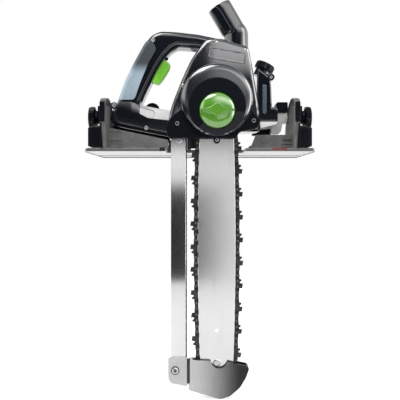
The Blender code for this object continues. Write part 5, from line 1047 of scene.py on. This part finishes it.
class BARSAW_OT_handle(bpy.types.Operator):
    """Handle halves with rounded edges, soft pads, screws, trigger, lock button and speed dial"""

    bl_idname = "barsaw.handle"
    bl_label = "Handle"

    def execute(self, context):
        line = self.grip_line()
        for side, face, split in (
            ("front", HANDLE_FRONT, HANDLE_SPLIT - 0.15), ("rear", HANDLE_REAR, HANDLE_SPLIT + 0.15),
        ):
            self.half(side, face, split, line)
            self.pad(side, face)
        for label in HANDLE_SCREWS:
            ease_node("handle_screw_" + label, "turned steel", 0.2)
        self.trigger(*line)
        self.lock_button(*line)
        self.dial()
        ease_node("switch_module", "cover plastic", 0.4)
        return {"FINISHED"}

    def half(self, side, face, split, line):
        """One half, with its lug, its slope, and room for the pieces it holds."""
        way = 1 if split > face else -1
        corners, edge = shared(HANDLE_SHARES, *HANDLE_BOX), mm(sizes().handle_edge)
        half = plate("handle_%s_shell" % side, corners, face, split, 9, edge, 0.35, HANDLE_BENDS, 5)
        fuse(half, plate("lug", circle(*LUG, 4.9, 24), face + way * 2.4, split, 0.5, 1.4, 0.2), "UNION")
        fuse(half, stack("slope", self.slope(face, way)))
        cut(half, housing_room(), *ROOM_ENDS)
        for room, depth in self.rooms(line):
            cut(half, room, split + way * 2, HANDLE_SPLIT - way * depth)
        pad_room = rounded(inset(shared(PAD_SHARES, *HANDLE_BOX), -0.35), 5.5, 4)
        cut(half, pad_room, face - way * 2, face + way * 1.8)
        if side == "front":
            for x, z, head in HANDLE_SCREWS.values():
                tapped(half, x, z, head - 0.5, 3.7, 6)
            cut(half, SEAM + [(x - 0.6, z - 0.6) for x, z in reversed(SEAM)], face - 1, face + 9)
        else:
            cut(half, circle(STUD_Y, STUD_Z, 4.3, 24), -130, -110, along_x)
        dress(half, "head", "handle plastic", ("handle_%s_half" % side,), 30)
        # Upward-facing faces of the lower arm's slope get the lifted finish: a painted highlight.
        repaint(half, "light plastic", lambda middle, normal: (
            middle.z < 82 and middle.x > -108 and normal.z > 0.35 and normal.y * way < -0.25
        ))

    def pad(self, side, face):
        """A soft pad that stands a little proud of its half."""
        way = 1 if side == "front" else -1
        corners = inset(shared(HANDLE_SHARES, *HANDLE_BOX), -0.45)
        name, edge = "handle_%s_pad" % side, mm(sizes().handle_edge)
        pad = plate(name, corners, face - way * 0.8, face + way * 12, 9, edge, 0.5, HANDLE_BENDS, 6)
        shape = rounded(shared(PAD_SHARES, *HANDLE_BOX), 5.5, 4)
        ends = sorted((face - way * 3, face + way * 9))
        fuse(pad, stack("pad_shape", [along_y(shape, y) for y in ends]), "INTERSECT")
        bevelled(pad, 0.5, 2, 40)
        # The pad's finish carries a painted reflection: light low down, dark high up.
        dress(pad, "head", "grip rubber", ("grip_pad_" + side,), 40)

    def slope(self, face, way):
        """Wedges that take the upper edge off the lower arm, deeper towards the gear case."""
        left, foot, width, height = HANDLE_BOX
        wedges = []
        for share_x, share_top, share_depth, share_ridge in SLOPE_SHARES:
            x, top, ridge = left + share_x * width, foot + share_top * height, foot + share_ridge * height
            depth = share_depth * (HANDLE_REAR - HANDLE_FRONT) / 2
            low = ridge - (top - ridge) * 0.3 / depth
            wedges.append([(x, face - way * 0.3, low), (x, face + way * depth, top), (x, face - way * 0.3, top)])
        return wedges

    def grip_line(self):
        """The grip's inner edge: its low end, its two directions and its length."""
        low, high = [Vector(place) for place in shared(((0.356, 0.451), (0.52, 0.751)), *HANDLE_BOX)]
        along = (high - low).normalized()
        return low, along, Vector((-along.y, along.x)), (high - low).length

    def rooms(self, line):
        """Pockets for the trigger, switch, lock button and speed dial, each with half its depth along Y."""
        low, along, inward, length = line
        first = length - TRIGGER_LENGTH - TRIGGER_SETBACK
        lock = first + TRIGGER_LENGTH + LOCK_RADIUS + LOCK_GAP

        def across(start, end, near, far):
            places = ((start, near), (end, near), (end, far), (start, far))
            return [tuple(low + along * a + inward * b) for a, b in places]

        return (
            (across(first - 0.6, first + TRIGGER_LENGTH + 0.6, -9, 11.6), 7.8),
            (across(first, first + 16.6, 11, 27), 8.0),
            (across(lock - LOCK_RADIUS - 0.3, lock + LOCK_RADIUS + 0.3, -9, 9.6), LOCK_RADIUS + 0.3),
            (circle(*DIAL, 11.6, 32), 4.8),
        )

    def trigger(self, low, along, inward, length):
        first = length - TRIGGER_LENGTH - TRIGGER_SETBACK
        shape = [
            low + along * (first + TRIGGER_LENGTH * a) + inward * (TRIGGER_PROUD * b) for a, b in TRIGGER_SHARES
        ]
        shape += [low + along * (first + TRIGGER_LENGTH) + inward * 6, low + along * first + inward * 6]
        shape = [tuple(point) for point in shape]
        paddle = stack("trigger_paddle", [
            along_y(eased(shape, 3, drawn, 3), HANDLE_SPLIT + y) for drawn, y in (
                (2.2, -7.5), (1.0, -7.1), (0.3, -6.2), (0, -4.6), (0, 4.6), (0.3, 6.2), (1.0, 7.1), (2.2, 7.5),
            )
        ])
        # The trigger's finish is a lighter copy of the green, with a painted highlight towards its left.
        dress(paddle, "trigger", "trigger plastic", ("trigger",), 40)

    def lock_button(self, low, along, inward, length):
        place = low + along * (length - TRIGGER_SETBACK + LOCK_RADIUS + LOCK_GAP)
        across = Vector((along.x, 0, along.y))
        loops = []
        for radius, depth in ((0.8, -3.0), (1.7, -2.9), (2.2, -2.4), (2.4, -1.8), (2.4, 6)):
            centre = place + inward * depth
            loops.append(ring_at(Vector((centre.x, HANDLE_SPLIT, centre.y)), across, AXES["Y"], 28, radius))
        dress(stack("lock_off_cap", loops), "lock_off", "cover plastic", ("lock_off_button",))

    def dial(self):
        """A wheel with a groove at every third of its points."""
        low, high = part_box("speed_dial")
        x, z = mm((low.x + high.x) / 2), mm((low.z + high.z) / 2)
        radius, near, far = mm((high.x - low.x) / 2), mm(low.y), mm(high.y)
        loops = []
        for reach, y in (
            (radius - 3.2, near + 0.5), (radius - 1.0, near), (radius, near + 1.0),
            (radius, far - 1.0), (radius - 1.0, far), (radius - 3.2, far - 0.5),
        ):
            rim = []
            for step, turn in enumerate(turns(108)):
                out = reach - (0.55 if step % 3 == 0 and reach > radius - 2 else 0.0)
                rim.append((x + out * math.cos(turn), y, z + out * math.sin(turn)))
            loops.append(rim)
        dress(stack("speed_dial_wheel", loops), "speed_dial", "cover plastic", ("speed_dial",))


class BARSAW_OT_motor(bpy.types.Operator):
    """Motor housing with cooling ribs and vents, and its end cap"""

    bl_idname = "barsaw.motor"
    bl_label = "Motor housing"

    def execute(self, context):
        self.case()
        self.cap()
        for name, finish_name in (
            ("field_core", "chain steel"), ("cooling_fan", "cover plastic"), ("armature", "copper winding"),
            ("pinion", "tooth steel"), ("spindle_gear", "tooth steel"), ("spindle", "turned steel"),
            ("drive_sprocket", "tooth steel"), ("spindle_bearing", "turned steel"),
            ("motor_bearing_front", "turned steel"), ("motor_bearing_rear", "turned steel"),
            ("brush_holder_low", "copper winding"), ("brush_holder_top", "copper winding"),
        ):
            ease_node(name, finish_name)
        return {"FINISHED"}

    def case(self):
        front, rear, bore = MOTOR_FRONT, MOTOR_REAR, 11.3
        outer, inner, low = MOTOR_RADIUS, MOTOR_RADIUS - 3, MOTOR_RADIUS - 1.3
        profile = [
            (bore, front), (outer - 4, front), (outer - 1.6, front + 0.9), (outer, front + 3.4),
            (outer, front + 12), (low, front + 14), (low, rear - 4.5), (outer, rear - 3), (outer, rear - 0.8),
            (outer - 0.8, rear), (inner, rear), (inner, front + 3.3), (bore, front + 3.3),
        ]
        case = turned("motor_case", softened(profile + [profile[0]], 0.5)[:-1], BAR_X, ARMATURE_Z, 96, True)
        for index in range(4):
            x = BAR_X + (index - 1.5) * 6.8
            slot = rounded(box_outline(x - 1.7, x + 1.7, rear - 16.4, rear - 5), 1.6, 3)
            cut(case, slot, ARMATURE_Z, ARMATURE_Z + outer + 2, along_z)
        ribs = []
        count = sizes().motor_ribs
        for index in range(count):
            turn = math.tau * (index + 0.5) / count
            out, side = Vector((math.cos(turn), math.sin(turn))), Vector((-math.sin(turn), math.cos(turn)))
            centre = Vector((BAR_X, ARMATURE_Z))
            corners = [
                tuple(centre + out * a + side * b)
                for a, b in ((outer - 2.2, -1), (outer, -0.7), (outer, 0.7), (outer - 2.2, 1))
            ]
            ribs.append(stack("rib", [along_y(corners, y) for y in (front + 11, rear - 3.5)]))
        fuse(case, joined(ribs, "ribs"), "UNION")
        dress(case, "head", "motor plastic", ("motor_housing",), 35)

    def cap(self):
        outer = MOTOR_RADIUS
        front, rear = side_of("motor_end_cap", 1, False), side_of("motor_end_cap", 1, True)
        cap = turned("motor_cap", [
            (outer, front), (outer, rear - 5), (outer - 1.5, rear - 1.7), (outer - 5, rear), (14.5, rear),
            (12.5, rear), (3, rear - 0.2), (3, rear - 2.7), (11.3, rear - 2.7), (11.3, rear - 10),
            (14, rear - 10), (14, rear - 3), (outer - 8, rear - 3), (outer - 3, rear - 6), (outer - 3, front),
        ], BAR_X, ARMATURE_Z, 96, True)
        for index in range(5):
            z = ARMATURE_Z + (index - 2) * 6.6
            near, far = [math.sqrt(radius ** 2 - (z - ARMATURE_Z) ** 2) for radius in (17.0, 36.0)]
            for side in (-1, 1):
                left, right = sorted((BAR_X + side * near, BAR_X + side * far))
                cut(cap, rounded(box_outline(left, right, z - 1.7, z + 1.7), 1.6, 3), rear - 6, rear + 2)
        dress(cap, "head", "cover plastic", ("motor_end_cap",), 35)

        bolts = []
        for angle in (45, 135, 225, 315):
            turn = math.radians(angle)
            x, z = BAR_X + 34.5 * math.cos(turn), ARMATURE_Z + 34.5 * math.sin(turn)
            head = screw_head(0, 0, 0, 3)
            place = Matrix.Translation((x * MM, (rear - 0.3) * MM, z * MM))
            head.data.transform(place @ Matrix.Rotation(math.pi, 4, "Z"))
            bolts.append(head)
        dress(joined(bolts, "motor_cap_screws"), "head", "turned steel")


class BARSAW_OT_spout(bpy.types.Operator):
    """Dust spout: a bent tube with a wall and a rim"""

    bl_idname = "barsaw.spout"
    bl_label = "Dust spout"

    def execute(self, context):
        lean, radius, wall = math.radians(30), 17.5, 2.6
        x, y, bend_z = 52.5, (HOUSING_FRONT + HOUSING_REAR) / 2, 170.5
        way = Vector((-math.sin(lean), 0, math.cos(lean)))
        stations = [(Vector((x, y, 152)), 0.0), (Vector((x, y, 168)), 0.0)]
        for step in range(9):
            angle = lean * step / 8
            out = Vector((-math.sin(angle), 0, math.cos(angle))) * (radius * angle)
            stations.append((Vector((x, y, bend_z)) + out, angle))
        last = stations[-1][0]
        length = (mm(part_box("dust_spout")[1].z) - radius * math.sin(lean) - last.z) / math.cos(lean)
        for share in (0.4, 0.8, 0.97):
            stations.append((last + way * (length * share), lean))
        mouth = last + way * length

        def ring(centre, angle, reach):
            return ring_at(centre, Vector((math.cos(angle), 0, math.sin(angle))), AXES["Y"], 48, reach)

        loops = [ring(centre, angle, radius) for centre, angle in stations]
        loops += [ring(mouth, lean, radius - 0.6), ring(mouth, lean, radius - wall + 0.4)]
        loops += [ring(centre, angle, radius - wall) for centre, angle in reversed(stations[1:])]
        tube = stack("dust_spout_tube", loops)
        cut(tube, housing_room(), HOUSING_FRONT + 9, HOUSING_REAR + 2)
        dress(tube, "head", "handle plastic", ("dust_spout",), 40)
        return {"FINISHED"}


class BARSAW_OT_tank(bpy.types.Operator):
    """Oil tank with its level window, lug and ribbed cap"""

    bl_idname = "barsaw.tank"
    bl_label = "Oil tank"

    def execute(self, context):
        front = BAR_Y + 12
        lean = math.radians(25)
        axis = Vector((math.sin(lean), 0, math.cos(lean)))
        across = Vector((math.cos(lean), 0, -math.sin(lean)))
        seat = Vector((89.6, front + 17, 116.01))

        def ring(height, radius, sides=60):
            return ring_at(seat + axis * height, across, AXES["Y"], sides, radius)

        tank = plate("oil_tank_shell", shared(TANK_SHARES, *TANK_BOX), front, front + 34, 4, 3, 1.5, steps=4)
        cut(tank, inset(housing_room(), -0.3), *ROOM_ENDS)
        cut(tank, box_outline(63.2, 135.2, 40, 71.7), BAR_Y + 29, front + 70)
        fuse(tank, stack("neck", [ring(-6, 11), ring(3.4, 11), ring(4.2, 10), ring(5, 10)]), "UNION")
        fuse(tank, plate("lug", circle(*TANK_LUG, 5.0, 28), front - 1.2, front + 17, 0.5, 1.0, 0.2), "UNION")
        tapped(tank, *TANK_LUG, front - 1.2, 3.0, 1.6)
        window = rounded(box_outline(89, 95, 55.7, 97.8), 3, 4)
        cut(tank, inset(window, -0.3), front - 2, front + 2.8)
        dress(tank, "head", "handle plastic", ("oil_tank",), 30)
        glass = plate("level_window", window, front - 0.3, front + 2.5, 0.5, 1.2, 0.2)
        dress(glass, "head", "level window", ("oil_window",))
        dress(screws("tank_screw", [(*TANK_LUG, front - 0.8, 2.6)]), "head", "turned steel")

        ribs, base = sizes().cap_ribs, 5.3
        cap = stack("oil_cap_ribbed", [
            ring(base + height, waved(radius, ribs, dip, 0.35), ribs * 8) for radius, height, dip in (
                (12.2, 0, 0), (13.2, 0.2, 0), (13.9, 0.7, 0), (14.0, 1.2, 0), (14.0, 1.9, 1.2), (14.0, 8.2, 1.3),
                (13.6, 9.3, 1.1), (12.8, 10.0, 0.3), (11.6, 10.3, 0), (10.8, 10.0, 0), (9.9, 10.2, 0),
                (8.6, 10.8, 0), (5.5, 11.0, 0),
            )
        ])
        dress(cap, "oil_cap", "knob plastic", ("oil_cap",), 35)
        return {"FINISHED"}


class BARSAW_OT_bar(bpy.types.Operator):
    """Guide bar with its groove, slot and holes, the nose wheel and its rivet"""

    bl_idname = "barsaw.bar"
    bl_label = "Guide bar"

    def execute(self, context):
        half, groove, width = 2.5, 0.85, 4.35
        rim = bar_rim()
        small, core = inset(rim, mm(sizes().bar_chamfer)), inset(rim, 6.2)
        bar = stack("guide_bar_ground", [along_y(outline, BAR_Y + y) for outline, y in (
            (small, -half), (rim, -half + 0.25), (rim, -groove), (core, -groove),
            (core, groove), (rim, groove), (rim, half - 0.25), (small, half),
        )])
        slot = [(BAR_X + a * width, KNOB_Z + b * width) for a, b in (
            (-1, -2), (-0.7, -2.7), (0.7, -2.7), (1, -2), (1, 1 / 3), (0.4, 1), (-0.4, 1), (-1, 1 / 3),
        )]
        cut(bar, slot, BAR_Y - 5, BAR_Y + 5)
        for z, radius in ((NOSE_Z + 45, 2.6), (NOSE_Z, 3.3)):
            cut(bar, circle(BAR_X, z, radius, 32), BAR_Y - 5, BAR_Y + 5)
        cut(bar, circle(BAR_X, NOSE_Z, 20.2, 48), BAR_Y - groove, BAR_Y + groove)
        dress(bar, "head", "bar steel", ("guide_bar",), 20)
        head = [(2.2, -4.0), (3.6, -3.85), (5.0, -3.4), (5.5, -2.9), (5.5, -2.75), (3.0, -2.75)]
        profile = head + [(radius, -y) for radius, y in reversed(head)]
        rivet = turned("nose_rivet_domed", [(radius, BAR_Y + y) for radius, y in profile], BAR_X, NOSE_Z, 32)
        dress(rivet, "head", "turned steel", ("nose_rivet",))
        ease_node("nose_sprocket", "tooth steel")
        return {"FINISHED"}


def half_width(z):
    """Half the bar's width at a height: its sides are bowed."""
    middle, reach = (TAIL_Z + NOSE_Z) / 2, (TAIL_Z - NOSE_Z) / 2
    return BAR_END_HALF + BAR_BULGE * max(0, 1 - ((z - middle) / reach) ** 2)


def arc(z, radius, first, last, steps):
    """Points on a part of a circle on the bar's centre line."""
    angles = [first + (last - first) * step / steps for step in range(steps + 1)]
    return [(BAR_X + radius * math.cos(angle), z + radius * math.sin(angle)) for angle in angles]


def bar_rim():
    """Round nose, bowed sides and round tail."""
    heights = [NOSE_Z + (TAIL_Z - NOSE_Z) * step / 14 for step in range(1, 14)]
    right = [(BAR_X + half_width(z), z) for z in heights]
    left = [(BAR_X - half_width(z), z) for z in reversed(heights)]
    nose = arc(NOSE_Z, BAR_END_HALF, math.pi, math.tau, 24)
    return nose + right + arc(TAIL_Z, BAR_END_HALF, 0, math.pi, 24) + left


def rivet_line():
    """The rivets, evenly spaced down the left side, round the nose, up the right side and over the sprocket."""
    rail, pitch_radius = BAR_END_HALF + RAIL_OFFSET, SPROCKET_TEETH * CHAIN_PITCH / math.pi
    lean = math.asin((rail - pitch_radius) / (SPINDLE_Z - TAIL_Z))
    heights = [TAIL_Z + (NOSE_Z - TAIL_Z) * step / 24 for step in range(1, 24)]
    path = arc(TAIL_Z, rail, math.pi - lean, math.pi, 2)
    path += [(BAR_X - half_width(z) - RAIL_OFFSET, z) for z in heights]
    path += arc(NOSE_Z, rail, math.pi, math.tau, 24)
    path += [(BAR_X + half_width(z) + RAIL_OFFSET, z) for z in reversed(heights)]
    path += arc(TAIL_Z, rail, 0, lean, 2)
    path += arc(SPINDLE_Z, pitch_radius, lean, math.pi - lean, 24)
    path = [Vector(point) for point in path]
    lengths = [0]
    for before, here in zip(path, path[1:] + path[:1]):
        lengths.append(lengths[-1] + (here - before).length)
    total = lengths[-1]
    count = CUTTER_EVERY * round(total / (CUTTER_EVERY * CHAIN_PITCH))
    rivets, index = [], 0
    for place in [total * step / count for step in range(count)]:
        while lengths[index + 1] < place:
            index += 1
        share = (place - lengths[index]) / (lengths[index + 1] - lengths[index])
        rivets.append(path[index].lerp(path[(index + 1) % len(path)], share))
    return rivets


class BARSAW_OT_chain(bpy.types.Operator):
    """Saw chain of tie straps, drive links, cutters and rivet heads"""

    bl_idname = "barsaw.chain"
    bl_label = "Saw chain"

    def execute(self, context):
        rivets = rivet_line()
        places = []
        for start, end in zip(rivets, rivets[1:] + rivets[:1]):
            along, middle = (end - start).normalized(), (start + end) / 2
            places.append(Matrix((
                (along.x, 0, along.y, middle.x * MM), (0, 1, 0, BAR_Y * MM),
                (along.y, 0, -along.x, middle.y * MM), (0, 0, 0, 1),
            )))
        links = [copies(self.strap(), places[0::2], "straps"), copies(self.drive(), places[1::2], "drives")]
        chain = joined(links, "saw_chain_links")
        dress(chain, "head", "chain steel", ("saw_chain",), 35)
        # The rivet heads get the lighter rivet finish: a painted highlight on each link.
        repaint(chain, "rivet steel", lambda middle, normal: abs(middle.y - BAR_Y) > 2.02)
        right, left = places[2::CUTTER_EVERY], places[6::CUTTER_EVERY]
        teeth = [copies(self.cutter(1), right, "right_teeth"), copies(self.cutter(-1), left, "left_teeth")]
        dress(joined(teeth, "saw_chain_cutters"), "head", "tooth steel", ("saw_chain",), 35)
        return {"FINISHED"}

    def strap(self):
        """Two side plates, each with two rivet heads."""
        radius, outline = mm(sizes().rivet_radius), list(STRAP_SHAPE)
        pieces = []
        for side in (-1, 1):
            near, far = side * 0.66, side * 1.95
            pieces.append(stack("strap", [
                along_y(outline, near), along_y(outline, far - side * 0.25), along_y(inset(outline, 0.25), far),
            ]))
            for u in (-4.1, 4.1):
                pieces.append(stack("rivet", [along_y(circle(u, 0, reach, 10), y) for reach, y in (
                    (radius, far), (radius, far + side * 0.2), (radius * 0.6, far + side * 0.5),
                )]))
        return joined(pieces, "strap")

    def drive(self):
        return stack("drive", [along_y(DRIVE_SHAPE, -0.62), along_y(DRIVE_SHAPE, 0.62)])

    def cutter(self, side):
        """A side plate with its gullet, and a top plate leaning over it."""
        body = stack("cutter", [along_y(CUTTER_SHAPE, side * 1.3), along_y(CUTTER_SHAPE, side * 2.5)])
        top = [(0.5, 6.9), (0.3, CUTTER_HEIGHT), (-6.0, 6.8), (-6.2, 6.2)]
        roof = stack("roof", [along_y(top, side * 2.5), along_y(top, side * -1.4)])
        return joined([body, roof], "cutter")


class BARSAW_OT_strip(bpy.types.Operator):
    """Support strip, tip shoe with its bracket, their screws and the chain catcher"""

    bl_idname = "barsaw.strip"
    bl_label = "Strip and shoe"

    def execute(self, context):
        ease_node("support_strip", "strip steel", 0.25, 2, 12)
        # The shoe's finish carries a painted reflection: light on its left, nearly black on its right.
        ease_node("tip_shoe", "shoe steel", 0.35)
        ease_node("chain_catcher", "soft rubber", 0.4)
        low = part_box("tip_shoe")[0]
        # A dark strip at the shoe's bend: painted shade in the fold between bracket and shoe.
        bend_shade = box_outline(-18.4, -13.6, -323, -288)
        bend_shade = plate("shoe_bend", bend_shade, mm(low.y) - 0.3, mm(low.y) + 3, 1.5, 1.2, 0.2)
        dress(bend_shade, "head", "tooth steel")
        stop = plate("strip_stop", box_outline(-44.3, -41.1, 2.5, 17.5), BAR_Y - 1.5, BAR_Y + 6, 0.8, 0.5, 0.5)
        dress(stop, "head", "soft rubber")
        block = plate("catcher_block", box_outline(-18, -5.6, 6, 46), BAR_Y + 2.9, BAR_Y + 10, 1.0, 0.6, 0.6)
        dress(block, "head", "soft rubber")
        radius = 4.5
        for name in ("shoe_screw", "strip_screw"):
            low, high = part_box(name)
            x, z = mm((low.x + high.x) / 2), mm((low.z + high.z) / 2)
            head = screws(name + "_head", [(x, z, mm(low.y) + 0.1, radius)])
            for vertex in head.data.vertices:
                vertex.co.y = min(vertex.co.y, high.y)
            dress(head, "head", "turned steel", (name,))
            if name == "shoe_screw":
                ends = [(radius + 1.3, mm(high.y) - 1.3), (radius + 1.3, mm(high.y) - 0.1)]
                dress(turned("shoe_washer", ends, x, z, 32), "head", "dark rim")
        return {"FINISHED"}


class BARSAW_OT_base(bpy.types.Operator):
    """Base plate, pointers, cast segments and their covers"""

    bl_idname = "barsaw.base"
    bl_label = "Base and segments"

    def execute(self, context):
        ease_node("base_plate", "pressed plate", 0.5)
        for side in ("left", "right"):
            ease_node("segment_" + side, "blasted casting", 0.5)
            ease_node("segment_cover_" + side, "cover plastic", 0.8, 3)
            ease_node("cut_pointer_" + side, "pointer red", 0.2)
        face = side_of("segment_left", 1, False)
        for way, side in ((-1, "left"), (1, "right")):
            upper = [(way * x, z) for x, z in box_outline(130, 136.6, 40.5, 67.5)]
            lower = [(way * x, z) for x, z in ((132.2, 5), (136.6, 5), (136.6, 38.4), (134.6, 38.4))]
            pieces = [
                plate("guard", corners, face - 3.2, face - 0.1, 0.8, 0.6, 0.1) for corners in (upper, lower)
            ]
            pieces.append(screw_head(way * 134, 46, face - 3.6, 2.4))
            dress(joined(pieces, "segment_guard_" + side), "base", "cover plastic")
        low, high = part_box("base_plate")
        left, right, front, rear = mm(low.x), mm(high.x), mm(low.y), mm(high.y)
        mark = plate("cut_line_mark", box_outline(98.5, 119, 2.2, 4.6), front - 0.3, front + 0.4, 0.3, 0.1, 0.1)
        dress(mark, "base", "mark red")
        foot = plate("notch_foot", box_outline(-55, -47.4, 0.2, 5.4), front - 1.8, front + 4, 1.0, 0.5, 0.5)
        dress(foot, "base", "soft rubber")
        slant = [(-128.3, 32.3), (-44.8, 17.3), (-44.8, 25.8), (-128.3, 45)]
        dress(plate("segment_rib", slant, -3, 3, 1.0, 0.6, 0.6), "base", "cover plastic")
        # A thin dark strip along the rear and sides of the plate's underside: painted shade at those edges, made
        # as a hem.
        shade_hems = [plate("hem", box_outline(start, end, depth, 0.4), near, far, 0.3, 0.2, 0.2) for (
            start, end, depth, near, far
        ) in (
            (left + 0.2, right - 0.2, -1.1, rear - 1.2, rear - 0.1),
            (left + 0.2, left + 1.3, -0.7, front + 6, rear - 1.0),
            (right - 1.3, right - 0.2, -0.7, front + 6, rear - 1.0),
        )]
        dress(joined(shade_hems, "base_plate_hem"), "base", "dark rim")
        return {"FINISHED"}


class BARSAW_OT_clamps(bpy.types.Operator):
    """Clamp studs, shoes and ribbed knobs, and the right arm with its block"""

    bl_idname = "barsaw.clamps"
    bl_label = "Tilt clamps"

    def execute(self, context):
        for side, name in ((-1, "left"), (1, "right")):
            self.knob(side, name)
            ease_node("clamp_stud_" + name, "turned steel", 0.3)
            ease_node("clamp_shoe_" + name, "cover plastic", 0.8, 3)
        ease_node("right_arm", "bright casting", 0.8, 3)
        ease_node("stud_block", "cover plastic", 0.8, 3)
        foot = plate("arm_foot", box_outline(78, 105, 28.5, 38), BAR_Y + 53, BAR_Y + 70, 1.5, 0.8, 0.8)
        dress(foot, "head", "cover plastic")
        slant = [(80, 33.6), (109.6, 40.6), (110.6, 44.6), (80, 44.6)]
        beam = plate("arm_beam", slant, BAR_Y + 11.5, BAR_Y + 22, 1.0, 0.8, 0.8)
        dress(beam, "head", "bright casting")
        return {"FINISHED"}

    def knob(self, side, name):
        """Rings out along X, each with its radius, its place and the dip between its ribs."""
        low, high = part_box("clamp_knob_" + name)
        inner, outer = sorted((mm(low.x), mm(high.x)), key=abs)
        thick, ribs = abs(outer - inner), sizes().knob_ribs
        loops = []
        for radius, deep, dip in (
            (9.0, 0, 0), (10.5, 0.3, 0), (11.0, 2.6, 0), (14.2, 3.4, 0.3), (16.6, 4.4, 1.2), (17.3, 5.8, 1.9),
            (17.4, thick - 3.2, 2.1), (16.9, thick - 1.5, 1.8), (15.2, thick - 0.4, 0.8), (12.5, thick, 0),
            (9.6, thick - 0.9, 0), (7.4, thick - 1.1, 0), (5.6, thick - 0.3, 0),
        ):
            centre = Vector((inner + side * deep, STUD_Y, STUD_Z))
            loops.append(ring_at(centre, AXES["Y"], AXES["Z"], ribs * 10, waved(radius, ribs, dip, 0.5)))
        knob = stack("clamp_knob_ribbed_" + name, loops)
        dress(knob, "clamp_knob_" + name, "knob plastic", ("clamp_knob_" + name,), 35)


class BARSAW_PT_panel(bpy.types.Panel):
    """Lists the operators, sizes and colours"""

    bl_idname = "BARSAW_PT_panel"
    bl_label = "Bar Saw"
    bl_space_type = "VIEW_3D"
    bl_region_type = "UI"
    bl_category = "Bar Saw"

    def draw(self, context):
        layout = self.layout
        for operator in OPERATORS:
            layout.operator(operator.bl_idname)
        for group in (context.scene.bar_saw_sizes, context.scene.bar_saw_colours):
            box = layout.box()
            for name in group.__annotations__:
                box.prop(group, name)


OPERATORS = (
    BARSAW_OT_stage, BARSAW_OT_base, BARSAW_OT_clamps, BARSAW_OT_housing, BARSAW_OT_motor,
    BARSAW_OT_handle, BARSAW_OT_cover, BARSAW_OT_cover_knob, BARSAW_OT_spout, BARSAW_OT_tank,
    BARSAW_OT_bar, BARSAW_OT_chain, BARSAW_OT_strip,
)
CLASSES = (BarSawSizes, BarSawColours) + OPERATORS + (BARSAW_PT_panel,)


def register():
    for made in CLASSES:
        bpy.utils.register_class(made)
    bpy.types.Scene.bar_saw_sizes = bpy.props.PointerProperty(type=BarSawSizes)
    bpy.types.Scene.bar_saw_colours = bpy.props.PointerProperty(type=BarSawColours)


def unregister():
    del bpy.types.Scene.bar_saw_colours
    del bpy.types.Scene.bar_saw_sizes
    for made in reversed(CLASSES):
        bpy.utils.unregister_class(made)


def main():
    register()
    for operator in OPERATORS:
        group, name = operator.bl_idname.split(".")
        if getattr(getattr(bpy.ops, group), name)() != {"FINISHED"}:
            raise RuntimeError("%s didn't finish" % operator.bl_label)
    let_go()


if __name__ == "__main__":
    main()
